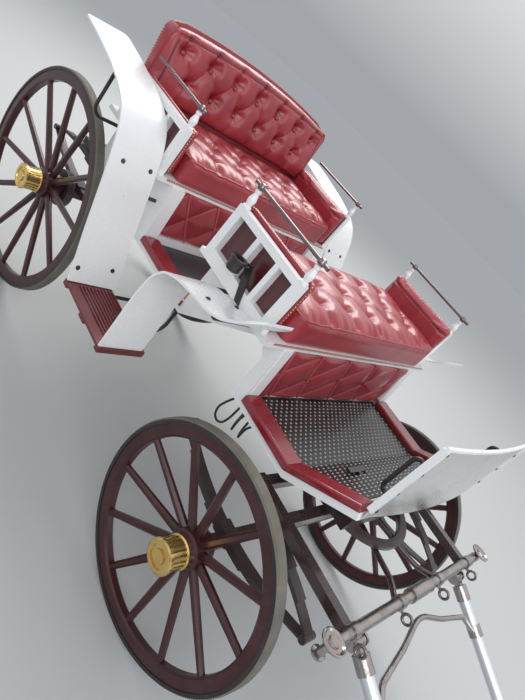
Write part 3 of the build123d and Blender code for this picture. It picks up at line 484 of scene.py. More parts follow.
addMaterials(paintMaterial, paints, {
    "white": ("whitePaint", (0.86, 0.86, 0.85), (0.33, 0.29, 0.25), "white"),
    "redPaint": ("redPaint", (0.25, 0.010, 0.020), (0.15, 0.07, 0.06), "red"),
    "panel": ("panelPaint", (0.085, 0.012, 0.018), (0.05, 0.03, 0.03), "red"),
    "gear": ("gearGloss", (0.036, 0.015, 0.016), (0.17, 0.12, 0.10), "gear"),
    "dark": ("gearPaint", (0.034, 0.018, 0.019), (0.17, 0.13, 0.11), "iron"),
    "black": ("ironPaint", (0.018, 0.016, 0.016), (0.12, 0.10, 0.09), "iron"),
    "pipe": ("pipeCoating", (0.016, 0.015, 0.015), (0.10, 0.08, 0.07), "iron"),
})
addMaterials(woodMaterial, woods, {
    "stepPaint": ("stepPaint", (0.17, 0.022, 0.028), (0.24, 0.16, 0.14), "wheel"),
    "wheel": ("wheelVarnish", (0.052, 0.009, 0.012), (0.14, 0.08, 0.075), "wheel"),
    "braid": ("creamBraid", (0.62, 0.55, 0.47), (0.36, 0.26, 0.22), "braid"),
    "boards": ("bodyBoards", (0.60, 0.58, 0.55), (0.30, 0.26, 0.22), "board"),
})
addMaterials(rubberMaterial, rubbers, {
    "tyre": ("tyreSide", (0.014, 0.013, 0.013), (0.16, 0.14, 0.11), "tyre"),
    "tread": ("tyreTread", (0.075, 0.067, 0.056), (0.23, 0.205, 0.17), "tread"),
    "mat": ("studdedMat", (0.007, 0.008, 0.008), (0.07, 0.07, 0.065), "mat"),
    "plainMat": ("plainMat", (0.022, 0.023, 0.028), (0.09, 0.09, 0.09), "tyre"),
    # the studs are the mat's own rubber, given a light grey as a painted highlight on their tops, with a
    # little dust
    "stud": ("studTops", (0.34, 0.35, 0.345), (0.44, 0.44, 0.42), "stud"),
})
addMaterials(metalMaterial, metals, {
    "brass": ("hubBrass", (0.80, 0.56, 0.20), (0.30, 0.19, 0.06), "brass"),
    "steel": ("bareSteel", (0.40, 0.37, 0.36), (0.10, 0.055, 0.045), "steel"),
    "rail": ("railSteel", (0.21, 0.18, 0.18), (0.10, 0.06, 0.05), "steel"),
    "alloy": ("shaftTube", (0.72, 0.74, 0.77), (0.40, 0.40, 0.42), "alloy"),
    "dash": ("dashSheet", (0.74, 0.75, 0.74), (0.50, 0.50, 0.47), "dash"),
    "nail": ("brassNail", (0.70, 0.58, 0.38), (0.22, 0.13, 0.07), "nail"),
    "bolt": ("boltHead", (0.10, 0.09, 0.09), (0.05, 0.035, 0.03), "nail"),
})
addMaterials(leatherMaterial, hides, {
    "leather": ("redHide", (0.30, 0.016, 0.028), (0.42, 0.045, 0.06), "red"),
    # the valance welts are the same hide, given a lighter, pinker colour as a painted highlight along their
    # raised ridges
    "welt": ("weltHide", (0.40, 0.06, 0.075), (0.55, 0.15, 0.16), "red"),
    # the buttons are the same hide, made darker as painted shade for the dents they sit in
    "button": ("buttonHide", (0.24, 0.010, 0.020), (0.34, 0.03, 0.04), "red"),
    # a near-black copy of the hide for the seam welts, painted shade for the dark shadow line along the seams
    "seam": ("seamHide", (0.10, 0.008, 0.014), (0.18, 0.02, 0.03), "red"),
})

wheelPlaces = ("front_right", "front_left", "rear_right", "rear_left")

nodeMaterials = {
    "white": (
        "side_boards", "corner_boards", "front_seat_frame", "rear_seat_frame", "seat_spindles",
        "back_panel", "dash_edge", "front_wings", "rear_wings", "seat_boxes",
    ),
    "redPaint": ("sill_mouldings",),
    "stepPaint": ("steps",),
    "panel": ("front_seat_panels", "rear_seat_panels"),
    "wheel": tuple("wheel_" + place for place in wheelPlaces),
    "brass": tuple("cap_" + place for place in wheelPlaces),
    "steel": ("splinter_bar", "roller_bolts", "shaft_fittings"),
    "rail": ("seat_rails", "trace_eyes"),
    "gear": ("front_bed",),
    "alloy": ("shaft_right", "shaft_left"),
    "dash": ("dash",),
    "dark": (
        "kingpin_bolster", "rear_axle", "rear_springs", "front_axle", "front_springs",
        "drum_rear_right", "drum_rear_left",
    ),
    "black": ("grab_handles", "brake_pedal", "wing_irons", "lamp_sockets", "chassis_rails"),
    "leather": ("arm_pads", "front_cushion", "rear_cushion", "back_pad", "valances"),
    "mat": ("front_mat",),
    "plainMat": ("mid_mat",),
    "pipe": ("brake_pipes",),
    "boards": ("floors",),
}


def dressNodes():
    for key, names in nodeMaterials.items():
        for name in names:
            piece = nodes[name]
            piece.data.materials.clear()
            piece.data.materials.append(materials[key])
    for place in wheelPlaces:
        dressTyre(nodes["tyre_" + place])
    dressKnobs(nodes["seat_spindles"])


roadSettings = {"band": 0.012, "outward": 0.3}


def dressTyre(piece):
    # black sides, and dust on the faces that meet the road
    piece.data.materials.clear()
    piece.data.materials.append(materials["tyre"])
    piece.data.materials.append(materials["tread"])
    low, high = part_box(piece["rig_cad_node"])
    centre = (low + high) / 2
    reach = (high.y - low.y) / 2
    for face in piece.data.polygons:
        arm = Vector((0, face.center.y - centre.y, face.center.z - centre.z))
        outward = face.normal.dot(arm.normalized())
        if arm.length > reach - roadSettings["band"] and outward > roadSettings["outward"]:
            face.material_index = 1


knobSettings = {"from": 1.390}


def dressKnobs(piece):
    # the spindles' top knobs are steel, as the rails in them
    piece.data.materials.append(materials["rail"])
    for face in piece.data.polygons:
        if face.center.z > knobSettings["from"]:
            face.material_index = 1


dressNodes()
print("stage: materials")


# Padded leather

def ridgeDistance(x, y, start, end):
    # distance to a stretch of line, and how far along it, from 0 to 1
    start = np.array(start)
    way = np.array(end) - start
    along = ((x - start[0]) * way[0] + (y - start[1]) * way[1]) / way.dot(way)
    along = np.clip(along, 0, 1)
    return np.hypot(x - start[0] - along * way[0], y - start[1] - along * way[1]), along


def buttonSpots(rows, pitch, limit):
    # each row is its distance up the pad and its shift across
    spots = []
    for up, shift in rows:
        for number in range(-6, 7):
            across = number * pitch + shift
            if abs(across) < limit:
                spots.append((across, up))
    return spots


foldSettings = {"least": 0.02, "across": 0.62, "up": 0.85}


def foldLines(spots, pitch):
    # the folds that join a button with its neighbours in the next row
    lines = []
    for first in spots:
        for second in spots:
            isNear = abs(second[0] - first[0]) < pitch * foldSettings["across"]
            if isNear and foldSettings["least"] < second[1] - first[1] < pitch * foldSettings["up"]:
                lines.append((first, second))
    return lines


def bell(reach, width):
    return np.exp(-(reach / width) ** 2)


pressSettings = {
    "buttonReach": 0.030, "foldReach": 0.020, "foldDepth": 0.42, "foldRise": 0.16, "wallPower": 3,
    "sidePower": 8, "endPower": 3.5, "rearShare": 0.97, "rearPower": 6,
}


def pressPad(piece, pad):
    # the stuffed shape: crowned top, dents at the buttons and shallow valleys between them
    press = pressSettings
    points = readPoints(piece)
    width, depth, height = pad["size"]
    x, y = points[:, 0], points[:, 1]
    share = np.clip(points[:, 2] / (height - pad["crown"]), 0, 1) ** press["wallPower"]
    across = np.clip(np.abs(x) / (width / 2), 0, 1)
    along = np.clip(np.abs(2 * y / depth - 1), 0, 1)
    if pad["backFull"]:
        along = np.where(y > depth / 2, (along * press["rearShare"]) ** press["rearPower"], along)
    dome = pad["crown"] * pad["fullness"] * (1 - across ** press["sidePower"])
    dome *= 1 - along ** press["endPower"]
    dent = np.zeros(len(points))
    for spotX, spotY in pad["buttons"]:
        reach = np.hypot(x - spotX, y - spotY)
        dent = np.maximum(dent, pad["dent"] * bell(reach, press["buttonReach"]))
    for start, end in pad["folds"]:
        reach, part = ridgeDistance(x, y, start, end)
        deep = pad["dent"] * (press["foldDepth"] - press["foldRise"] * np.sin(np.pi * part))
        dent = np.maximum(dent, deep * bell(reach, press["foldReach"]))
    points[:, 2] += share * (dome - dent)
    movePoints(piece, points)


clothSettings = {
    "quality": 4, "mass": 0.3, "stretch": 12, "bending": 0.6, "pressure": 4.0, "frames": 20,
    "bottom": 0.004, "buttonHold": 0.011, "topFrom": 0.55, "topBand": 0.25,
}


def swell(piece, pad):
    # cloth with air pressure inside, held at its buttons and along its bottom
    points = readPoints(piece)
    height = pad["size"][2]
    held = points[:, 2] < clothSettings["bottom"]
    for spotX, spotY in pad["buttons"]:
        near = np.hypot(points[:, 0] - spotX, points[:, 1] - spotY) < clothSettings["buttonHold"]
        held |= near & (points[:, 2] > 0.5 * height)
    group = piece.vertex_groups.new(name="held")
    group.add([int(i) for i in np.nonzero(held)[0]], 1.0, "REPLACE")
    cloth = piece.modifiers.new("cloth", "CLOTH")
    cloth.settings.quality = clothSettings["quality"]
    cloth.settings.mass = clothSettings["mass"]
    cloth.settings.tension_stiffness = clothSettings["stretch"]
    cloth.settings.compression_stiffness = clothSettings["stretch"]
    cloth.settings.bending_stiffness = clothSettings["bending"]
    cloth.settings.use_pressure = True
    cloth.settings.uniform_pressure_force = clothSettings["pressure"]
    cloth.settings.vertex_group_mass = "held"
    cloth.settings.effector_weights.gravity = 0
    cloth.point_cache.frame_end = clothSettings["frames"]
    for frameNumber in range(1, clothSettings["frames"] + 1):
        scene.frame_set(frameNumber)
    pick(piece)
    bpy.ops.object.modifier_apply(modifier="cloth")
    scene.frame_set(1)
    move = readPoints(piece) - points
    size = np.linalg.norm(move, axis=1)
    top = np.clip((points[:, 2] / height - clothSettings["topFrom"]) / clothSettings["topBand"], 0, 1)
    limit = pad["sideRoom"] + (pad["topRoom"] - pad["sideRoom"]) * top
    move *= np.minimum(1, limit / np.maximum(size, 1e-9))[:, None]
    movePoints(piece, points + move)
    piece.vertex_groups.clear()


creaseSettings = {
    "buttonSink": 0.006, "buttonReach": 0.013, "rays": 7, "ringAt": 0.026, "ringReach": 0.017,
    "foldReach": 0.0065, "foldRise": 0.55, "foldWander": 0.004, "topFrom": 0.15, "topBand": 0.35,
}


def gatherWave(x, pitch):
    # gathers whose spacing and strength wander a little, as sewn by hand
    phase = 2 * np.pi * x / pitch + 1.6 * np.sin(9.1 * x) + 1.2 * np.sin(27.0 * x + 1)
    wave = (0.5 + 0.5 * np.cos(phase)) * (0.72 + 0.28 * np.sin(17.0 * x + 2))
    return wave ** 1.6


def bowAt(pad, x):
    # how far the bowed top stretches the pad there
    return 1 + pad["bow"] / pad["size"][1] * (1 - (2 * x / pad["size"][0]) ** 2)


def creasePad(piece, pad):
    # sharp folds, small wrinkles round the buttons and gathers along the rims
    crease = creaseSettings
    points = readPoints(piece)
    normals = readPoints(piece, "normal")
    width, depth, height = pad["size"]
    x, y = points[:, 0], points[:, 1]
    top = np.clip((normals[:, 2] - crease["topFrom"]) / crease["topBand"], 0, 1)
    sink = np.zeros(len(points))
    for number, (spotX, spotY) in enumerate(pad["buttons"]):
        reach = np.hypot(x - spotX, y - spotY)
        angle = np.arctan2(y - spotY, x - spotX)
        sink += crease["buttonSink"] * bell(reach, crease["buttonReach"])
        rays = 0.5 + 0.5 * np.cos(crease["rays"] * angle + 1.7 * number + 2.0 * np.sin(angle + number))
        sink += pad["wrinkle"] * rays * bell(reach - crease["ringAt"], crease["ringReach"])
    for number, (start, end) in enumerate(pad["folds"]):
        wander = crease["foldWander"] * np.sin(31 * y + number)
        reach, part = ridgeDistance(x + wander, y, start, end)
        fade = 1 - crease["foldRise"] * np.sin(np.pi * part)
        sink += pad["crease"] * fade * bell(reach, crease["foldReach"])
    for start, end, lineDepth, lineWidth in pad["seams"]:
        reach, part = ridgeDistance(x, y, start, end)
        sink += lineDepth * bell(reach, lineWidth)
    points[:, 2] -= top * sink
    for gather in pad["gathers"]:
        rim = gather["line"](x, y)
        off = np.hypot(rim, np.minimum(0, (points[:, 2] - gather["height"])) * gather["drop"])
        pull = gather["depth"] * gatherWave(x, gather["pitch"]) * bell(off, gather["reach"])
        points -= normals * pull[:, None]
    low = np.array([-width / 2, 0, 0]) - pad["proud"]
    high = np.array([width / 2, depth, height]) + pad["proud"]
    low[2] = 0
    if "bow" in pad:
        points[:, 1] *= bowAt(pad, points[:, 0])
        high[1] += pad["bow"]
    movePoints(piece, np.clip(points, low, high))


def isUpright(edge, least, middle, farEnd):
    first, second = (v.co for v in edge.verts)
    return abs(first.z - second.z) > least and (first.y > middle) == farEnd


padSettings = {"cornerFlats": 6, "rimFlats": 4, "smooth": 2}


def makePad(name, pad):
    width, depth, height = pad["size"]
    inset = pad["inset"]
    wall = height - pad["crown"]
    clearSelection()
    bpy.ops.mesh.primitive_cube_add(size=1, location=(0, depth / 2, wall / 2))
    piece = fresh(name)
    piece.scale = (width - 2 * inset, depth - 2 * inset, wall)
    settle(piece)
    for offset, farEnd in ((pad["farCorner"], True), (pad["corner"], False)):
        selectIn(piece, "edges", lambda edge: isUpright(edge, wall / 2, depth / 2, farEnd))
        bpy.ops.mesh.bevel(offset=offset, segments=padSettings["cornerFlats"], affect="EDGES")
    selectIn(piece, "edges", lambda edge: min(v.co.z for v in edge.verts) > wall - 1e-4)
    bpy.ops.mesh.bevel(offset=pad["rim"], segments=padSettings["rimFlats"], affect="EDGES")
    closeEdit()
    piece.data.remesh_voxel_size = pad["voxel"]
    bpy.ops.object.voxel_remesh()
    pressPad(piece, pad)
    swell(piece, pad)
    openEdit(piece)
    bpy.ops.mesh.vertices_smooth(factor=0.5, repeat=padSettings["smooth"])
    closeEdit()
    applyModifier(piece, "SUBSURF", levels=1, render_levels=1)
    creasePad(piece, pad)
    print("pad:", name, len(piece.data.polygons))
    return piece


def finishPad(piece, matrix, replaced, angle=None):
    finishPiece(piece, "leather", angle, matrix=matrix)
    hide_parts(replaced)


def surfaceSpot(piece, x, y, lift):
    hit, place, normal, index = piece.ray_cast(Vector((x, y, 1)), Vector((0, 0, -1)))
    return place + Vector((0, 0, lift))


buttonSettings = {"radius": 0.0125, "height": 0.0068, "across": 1, "cut": -0.8, "mesh": (14, 8)}


def buttonPlace(piece, x, y, lift):
    # a button's edge is set by the mean height of the hide under it, low enough to touch it
    reach = buttonSettings["radius"]
    ring = []
    for number in range(8):
        turn = math.pi * number / 4
        ring.append(surfaceSpot(piece, x + reach * math.cos(turn), y + reach * math.sin(turn), 0).z)
    return Vector((x, y, sum(ring) / len(ring) + lift))


def addButtons(piece, pad, matrix, name):
    spots = [buttonPlace(piece, x, y, pad["buttonLift"]) for x, y in pad["buttons"]]
    joined = repeat(makeDome("button", buttonSettings), [Matrix.Translation(spot) for spot in spots], name)
    # the buttons take the darker hide, painted shade
    finishPiece(joined, "button", 40, matrix=matrix)


weltSettings = {"below": 0.006, "lift": 0.0008, "radius": 0.0036, "corners": 0.03, "spacing": 0.02}


def rimLine(piece, pad, height):
    # points round a pad's side at one height, on its skin
    width, depth, thick = pad["size"]
    corners = weltSettings["corners"]
    points = []
    outline = [(-width / 2, 0), (width / 2, 0), (width / 2, depth), (-width / 2, depth)]
    for (x0, y0), (x1, y1) in zip(outline, outline[1:] + outline[:1]):
        length = math.hypot(x1 - x0, y1 - y0)
        count = max(4, int((length - 2 * corners) / weltSettings["spacing"]))
        for number in range(count + 1):
            part = (corners + (length - 2 * corners) * number / count) / length
            spot = Vector((x0 + (x1 - x0) * part, y0 + (y1 - y0) * part, height))
            found, place, normal, index = piece.closest_point_on_mesh(spot)
            points.append(place + normal * weltSettings["lift"])
    return points


cushionSettings = {
    "crown": 0.022, "fullness": 1.0, "dent": 0.036, "inset": 0.006, "corner": 0.028, "farCorner": 0.028,
    "rim": 0.012, "voxel": 0.009, "topRoom": 0.020, "sideRoom": 0.004, "fill": 0.8,
    "wrinkle": 0.0030, "crease": 0.0040, "seams": [], "proud": np.array([-0.0006, 0.006, 0.004]),
    "backFull": True, "buttonLift": 0.0015, "buttonEdge": 0.05, "frontFold": (0.012, 0.03),
}


def seatGathers(wall):
    # wide gathers over the front rim and fine ones at its edge
    return [
        {"line": lambda x, y: y - 0.016, "height": wall, "drop": 2.2, "pitch": 0.061,
         "reach": 0.042, "depth": 0.0095},
        {"line": lambda x, y: y - 0.006, "height": wall, "drop": 1.6, "pitch": 0.0235,
         "reach": 0.022, "depth": 0.0026},
    ]


def addSeatCushion(name, node, rows, pitch):
    low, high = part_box(node)
    size = high - low
    wall = size.z - cushionSettings["crown"]
    pad = dict(cushionSettings)
    pad["size"] = tuple(size)
    pad["buttons"] = buttonSpots(rows, pitch, size.x / 2 - pad["buttonEdge"])
    aside, end = pad["frontFold"]
    pad["folds"] = foldLines(pad["buttons"], pitch)
    pad["folds"] += [((x, y), (x + aside, end)) for x, y in pad["buttons"] if y == rows[0][0]]
    pad["gathers"] = seatGathers(wall)
    piece = makePad(name, pad)
    matrix = Matrix.Translation((0, low.y, low.z))
    addButtons(piece, pad, matrix, name + "Buttons")
    line = rimLine(piece, pad, wall - weltSettings["below"])
    welt = tubeAlong(name + "Welt", line, weltSettings["radius"], True)
    finishPiece(welt, "leather", matrix=matrix)
    finishPad(piece, matrix, node)


backSettings = {
    "size": (1.190, 0.290, 0.070), "bow": 0.043, "lean": 8.06, "corner": 0.014, "farCorner": 0.058,
    "place": mm(0, 1660.1, 1249), "crown": 0.020, "fullness": 1.0, "dent": 0.034, "inset": 0.003,
    "rim": 0.014, "voxel": 0.008, "topRoom": 0.017, "sideRoom": 0.003, "fill": 0.85,
    "wrinkle": 0.0036, "crease": 0.0075, "gathers": [], "backFull": False,
    "proud": np.array([0.001, 0.001, 0.012]), "rows": ((0.104, 0.0825), (0.212, 0.0)), "pitch": 0.165,
    "limit": 0.53, "seamX": 0.550, "seamY": 0.262, "topSeam": (0.006, 0.006), "sideSeam": (0.005, 0.006),
    "seamLift": 0.0006, "seamRadius": 0.0028, "foldLean": 0.004, "foldLow": 0.01, "buttonLift": 0.0050,
}


def backFrame(depth):
    # a frame that leans as the back does and stands this far behind its place
    lean = math.radians(backSettings["lean"])
    up = Vector((0, math.sin(lean), math.cos(lean)))
    out = Vector((0, -math.cos(lean), math.sin(lean)))
    return basis(backSettings["place"] - out * depth, Vector((1, 0, 0)), up, out)


def addBackPad():
    pad = dict(backSettings)
    pitch, lean, seamX, seamY = pad["pitch"], pad["foldLean"], pad["seamX"], pad["seamY"]
    lower, upper = (up for up, shift in pad["rows"])
    pad["buttons"] = buttonSpots(pad["rows"], pitch, pad["limit"])
    pad["folds"] = foldLines(pad["buttons"], pitch)
    pad["folds"] += [((x, y), (x + lean, seamY)) for x, y in pad["buttons"] if y == upper]
    pad["folds"] += [((x, y), (x - lean, pad["foldLow"])) for x, y in pad["buttons"] if y == lower]
    pad["seams"] = [((-seamX, seamY), (seamX, seamY), *pad["topSeam"])]
    pad["seams"] += [((x, 0.0), (x, seamY), *pad["sideSeam"]) for x in (-seamX, seamX)]
    piece = makePad("backPad", pad)
    matrix = backFrame(pad["size"][2])
    addButtons(piece, pad, matrix, "backButtons")
    path = [(-seamX, seamY * number / 12) for number in range(1, 12)]
    path += [(-seamX + 2 * seamX * number / 48, seamY) for number in range(1, 48)]
    path += [(seamX, seamY * number / 12) for number in range(11, 0, -1)]
    line = [surfaceSpot(piece, x, y * bowAt(pad, x), pad["seamLift"]) for x, y in path]
    seam = tubeAlong("backSeam", line, pad["seamRadius"])
    # the seam welt takes the near-black hide, painted shade
    finishPiece(seam, "seam", matrix=matrix)
    finishPad(piece, matrix, "back_pad")


coverSettings = {
    "round": 0.009, "rear": 0.55, "corner": 0.058, "flats": (8, 21, 34, 47, 60, 73),
    "returnX": 0.573, "frontLow": mm(0, 1700, 1150), "rearLow": mm(0, 1716, 1150),
    "frontHigh": mm(0, 1728, 1541), "lowBand": (1.31, 1.34), "lowFront": 1.66, "highFront": 1.70,
    "highFrom": 1.5,
}


def copyNode(node, name):
    # a merged copy of a node of the part, with its flat faces whole again
    piece = twin(nodes[node], name)
    for key in [key for key in piece.keys() if key.startswith("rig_")]:
        del piece[key]
    piece.parent = None
    piece.matrix_world = Matrix.Identity(4)
    openEdit(piece)
    bpy.ops.mesh.remove_doubles(threshold=0.00002)
    bpy.ops.mesh.dissolve_limited(angle_limit=math.radians(1))
    closeEdit()
    return piece


def trimReturns(piece):
    # the side returns stand behind the pad's edge and reach down to the cushion
    cover = coverSettings
    lowest, highest = cover["lowBand"]
    for vertex in piece.data.vertices:
        if abs(vertex.co.x) < cover["returnX"]:
            continue
        isLow = lowest < vertex.co.z < highest
        isFront = vertex.co.y - shiftY < (cover["lowFront"] if isLow else cover["highFront"])
        if isLow or (isFront and vertex.co.z > cover["highFrom"]):
            target = cover["frontHigh"]
            if isLow:
                target = cover["frontLow"] if isFront else cover["rearLow"]
            vertex.co.y, vertex.co.z = target.y, target.z


def roundCover(piece, outer, high):
    # the top corners are planed round in short flats
    radius = coverSettings["corner"]
    openEdit(piece)
    for side in (-1, 1):
        middle = Vector((side * (outer - radius), 0, high - radius))
        for turn in coverSettings["flats"]:
            angle = math.radians(turn)
            way = Vector((side * math.cos(angle), 0, math.sin(angle)))
            spot = middle + way * radius
            bpy.ops.mesh.select_all(action="SELECT")
            bpy.ops.mesh.bisect(plane_co=spot, plane_no=way, use_fill=True, clear_outer=True)
    closeEdit()


def addBackCover():
    # the back's ends and top are wrapped in hide, and its rear stays white
    piece = copyNode("back_panel", "backCover")
    trimReturns(piece)
    outer = max(abs(v.co.x) for v in piece.data.vertices)
    high = max(v.co.z for v in piece.data.vertices if abs(v.co.x) > outer - 0.001)
    roundCover(piece, outer, high)
    applyModifier(piece, "BEVEL", width=coverSettings["round"], segments=4, limit_method="ANGLE")
    finishPiece(piece, "leather", 40)
    piece.data.materials.append(materials["white"])
    for face in piece.data.polygons:
        face.material_index = 1 if face.normal.y > coverSettings["rear"] else 0
    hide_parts("back_panel")


armSettings = {
    "crown": 0.016, "fullness": 0.9, "dent": 0.0, "inset": 0.004, "corner": 0.020, "farCorner": 0.020,
    "rim": 0.012, "voxel": 0.007, "topRoom": 0.010, "sideRoom": 0.003, "fill": 0.75,
    "wrinkle": 0.0, "crease": 0.0, "buttons": [], "folds": [], "proud": np.array([0.001, 0.003, 0.0]),
    "backFull": False, "bottom": 1105.3, "thick": 0.0517, "seamDown": 0.040, "seam": (0.007, 0.006),
    "weltEnds": 0.014, "weltLift": 0.0012, "weltRadius": 0.0026,
}
armPlaces = {
    "frontArm": {"front": 372, "rear": 786, "nailsRear": 786, "top": 1335, "outer": 616.7},
    "rearArm": {"front": 1256, "rear": 1699, "nailsRear": 1684, "top": 1323, "outer": 591.7},
}


def addArmPads(name, place):
    # lying flat while it is made, inner side up: X along the carriage, Y up, Z inwards
    pad = dict(armSettings)
    length, tall = (place["rear"] - place["front"]) / 1000, (place["top"] - pad["bottom"]) / 1000
    seam = tall - pad["seamDown"]
    pad["size"] = (length, tall, pad["thick"])
    pad["seams"] = [((-length / 2, seam), (length / 2, seam), *pad["seam"])]
    pad["gathers"] = [{
        "line": lambda x, y: np.where(y > tall - 0.042, 0.1, np.abs(y - tall + 0.055) * 0.5),
        "height": 0.0, "drop": 0.0, "pitch": 0.026, "reach": 0.030, "depth": 0.0028,
    }]
    right = makePad(name + "Right", pad)
    reach = length - 2 * pad["weltEnds"]
    along = [-length / 2 + pad["weltEnds"] + reach * number / 24 for number in range(25)]
    line = [surfaceSpot(right, x, seam, pad["weltLift"]) for x in along]
    welt = tubeAlong(name + "WeltRight", line, pad["weltRadius"])
    middle = (place["front"] + place["rear"]) / 2
    for piece in (right, welt):
        left = twin(piece, piece.name.replace("Right", "Left"))
        for side, half in ((-1, piece), (1, left)):
            corner = mm(side * place["outer"], middle, pad["bottom"])
            matrix = basis(corner, Vector((0, -side, 0)), Vector((0, 0, 1)), Vector((-side, 0, 0)))
            if piece == right:
                finishPad(half, matrix, "arm_pads")
            else:
                # the arm pads' welts take the near-black hide, painted shade
                finishPiece(half, "seam", matrix=matrix)


addSeatCushion("frontCushion", "front_cushion", ((0.120, 0.0), (0.240, 0.095), (0.360, 0.0)), 0.190)
addSeatCushion("rearCushion", "rear_cushion", ((0.120, 0.0), (0.240, 0.0915), (0.360, 0.0)), 0.183)
addBackPad()
addBackCover()
for armName, armPlace in armPlaces.items():
    addArmPads(armName, armPlace)
print("stage: padded seats and back")


# Quilted valances under the seats

valanceSettings = {
    "half": 0.477, "grid": (300, 72), "puff": 0.0115, "spread": 0.030, "edge": 0.016, "thick": 0.010,
    "groove": 0.0034, "grooveWidth": 0.0045, "welt": 0.0055, "weltSag": 0.005, "weltLift": 0.0012,
    "hem": 0.0026, "hemIn": 0.002, "hemUp": 0.003, "hemLift": 0.0005, "fill": 0.5,
}
valancePlaces = {
    "front": {
        "low": mm(0, 331.5, 852), "high": mm(0, 334.5, 1083.5),
        "welts": ((-0.475, -0.390), (-0.288, -0.205), (-0.077, 0.030), (0.146, 0.255), (0.379, 0.455)),
        "extra": ((0.590, 0.668), (0.790, 0.870)),
    },
    "rear": {
        "low": mm(0, 1224.5, 861), "high": mm(0, 1234.5, 1083.5),
        "welts": ((-0.440, -0.310), (-0.260, -0.130), (-0.080, 0.050), (0.100, 0.230), (0.280, 0.410)),
        "extra": ((0.460, 0.590), (0.640, 0.770)),
    },
}


def valanceLines(place, tall):
    # the raised welts lean one way and the sewn seams cross them the other way
    welts = [((top, tall), (low, 0.0)) for top, low in place["welts"]]
    tops, lows = zip(*place["welts"], *place["extra"])
    seams = [((tops[n], tall), (lows[n - 2], 0.0)) for n in range(2, len(tops))]
    step = lows[1] - tops[3]
    seams += [((top, tall), (top + step, 0.0)) for top in (tops[1], tops[0])]
    return welts, seams


def quiltGrid(piece, tall, welts, seams):
    # channels puff up between the lines, and the sewn lines are drawn in deeper
    sizes = valanceSettings
    points = readPoints(piece)
    x, y = points[:, 0], points[:, 1]
    near = np.full(len(points), 1.0)
    groove = np.full(len(points), 1.0)
    for start, end in welts + seams:
        near = np.minimum(near, ridgeDistance(x, y, start, end)[0])
    for start, end in seams:
        groove = np.minimum(groove, ridgeDistance(x, y, start, end)[0])
    border = np.minimum(np.minimum(x + sizes["half"], sizes["half"] - x), np.minimum(y, tall - y))
    fade = np.clip(border / sizes["edge"], 0, 1) ** 0.7
    puff = 1 - np.exp(-(near / sizes["spread"]) ** 1.5)
    points[:, 2] = sizes["puff"] * puff * fade
    points[:, 2] -= sizes["groove"] * bell(groove, sizes["grooveWidth"]) * fade
    movePoints(piece, points)


def addValance(name, place):
    sizes = valanceSettings
    half = sizes["half"]
    rise = place["high"] - place["low"]
    tall, up = rise.length, rise.normalized()
    matrix = basis(place["low"], Vector((1, 0, 0)), up, Vector((1, 0, 0)).cross(up))
    welts, seams = valanceLines(place, tall)
    across, upward = sizes["grid"]
    clearSelection()
    spot = (0, tall / 2, 0)
    bpy.ops.mesh.primitive_grid_add(x_subdivisions=across, y_subdivisions=upward, size=1, location=spot)
    piece = fresh(name)
    piece.scale = (2 * half, tall, 1)
    settle(piece)
    quiltGrid(piece, tall, welts, seams)
    applyModifier(piece, "SOLIDIFY", thickness=sizes["thick"], offset=-1.0)
    tubes = []
    for (startX, startY), (endX, endY) in welts:
        line = []
        for part in (number / 12 for number in range(13)):
            x = startX + (endX - startX) * part - sizes["weltSag"] * math.sin(math.pi * part)
            line.append((x, tall * (1 - part), sizes["weltLift"]))
        tubes.append(tubeAlong("welt", [q for q in line if abs(q[0]) < half], sizes["welt"]))
    joined = joinPieces(tubes, name + "Welts")
    end, rise = half - sizes["hemIn"], sizes["hemUp"]
    line = [(-end, rise, 0.0), (0, rise, sizes["hemLift"]), (end, rise, 0.0)]
    edging = tubeAlong(name + "Hem", line, sizes["hem"])
    # the welts take the lighter hide, a painted highlight
    for part, material in ((joined, "welt"), (edging, "braid")):
        finishPiece(part, material, matrix=matrix)
    finishPad(piece, matrix, "valances", 50)


for seat in ("front", "rear"):
    addValance(seat + "Valance", valancePlaces[seat])
print("stage: quilted valances")


# Nails, bolts and mat studs

def onSkin(piece, start, way):
    # where a line meets a piece, and a frame there with Z along its skin's normal
    hit, place, normal, index = piece.ray_cast(Vector(start), Vector(way))
    if not hit:
        return None
    return Matrix.Translation(place) @ normal.to_track_quat("Z", "Y").to_matrix().to_4x4()


nailSizes = {
    "radius": 0.0030, "height": 0.0018, "across": 1, "cut": 0, "mesh": (8, 4), "pitch": 0.0125,
    "armPitch": 12, "armIn": 7.5, "armLow": 1115, "armTop": 16, "armEnds": 14,
    "backRise": (0.080, 0.252, 0.012), "backIn": 0.078,
}


def addNails(name, piece, starts, way):
    places = [onSkin(piece, start, way) for start in starts]
    row = repeat(makeDome("nail", nailSizes), [place for place in places if place], name)
    finishPiece(row, "nail", 50)


def steps(first, last, pitch):
    count = max(1, round(abs(last - first) / pitch))
    return [first + (last - first) * number / count for number in range(count + 1)]


hemSettings = {
    "front": (0.612, 338), "rear": (0.588, 1232), "low": 1.098, "high": 1.1052, "thick": 0.0024,
    "round": 0.0011, "ends": 0.006,
}


def addHem(name):
    # a narrow band that the cushion's nails go through
    half, face = hemSettings[name]
    low, high, thick = hemSettings["low"], hemSettings["high"], hemSettings["thick"]
    middle = (low + high) / 2
    rear = face / 1000 + shiftY
    front = rear - thick
    clearSelection()
    bpy.ops.mesh.primitive_cube_add(size=1, location=(0, rear - thick / 2, middle))
    band = fresh(name + "Hem")
    band.scale = (2 * half, thick, high - low)
    settle(band)
    selectIn(band, "edges", lambda edge: max(v.co.y for v in edge.verts) < front + 1e-5)
    bpy.ops.mesh.bevel(offset=hemSettings["round"], segments=2, affect="EDGES")
    closeEdit()
    finishPiece(band, "leather", 40)
    end = half - hemSettings["ends"]
    starts = [(x, front - 0.1, middle) for x in steps(-end, end, nailSizes["pitch"])]
    addNails(name + "HemNails", band, starts, (0, 1, 0))


for seat in ("front", "rear"):
    addHem(seat)


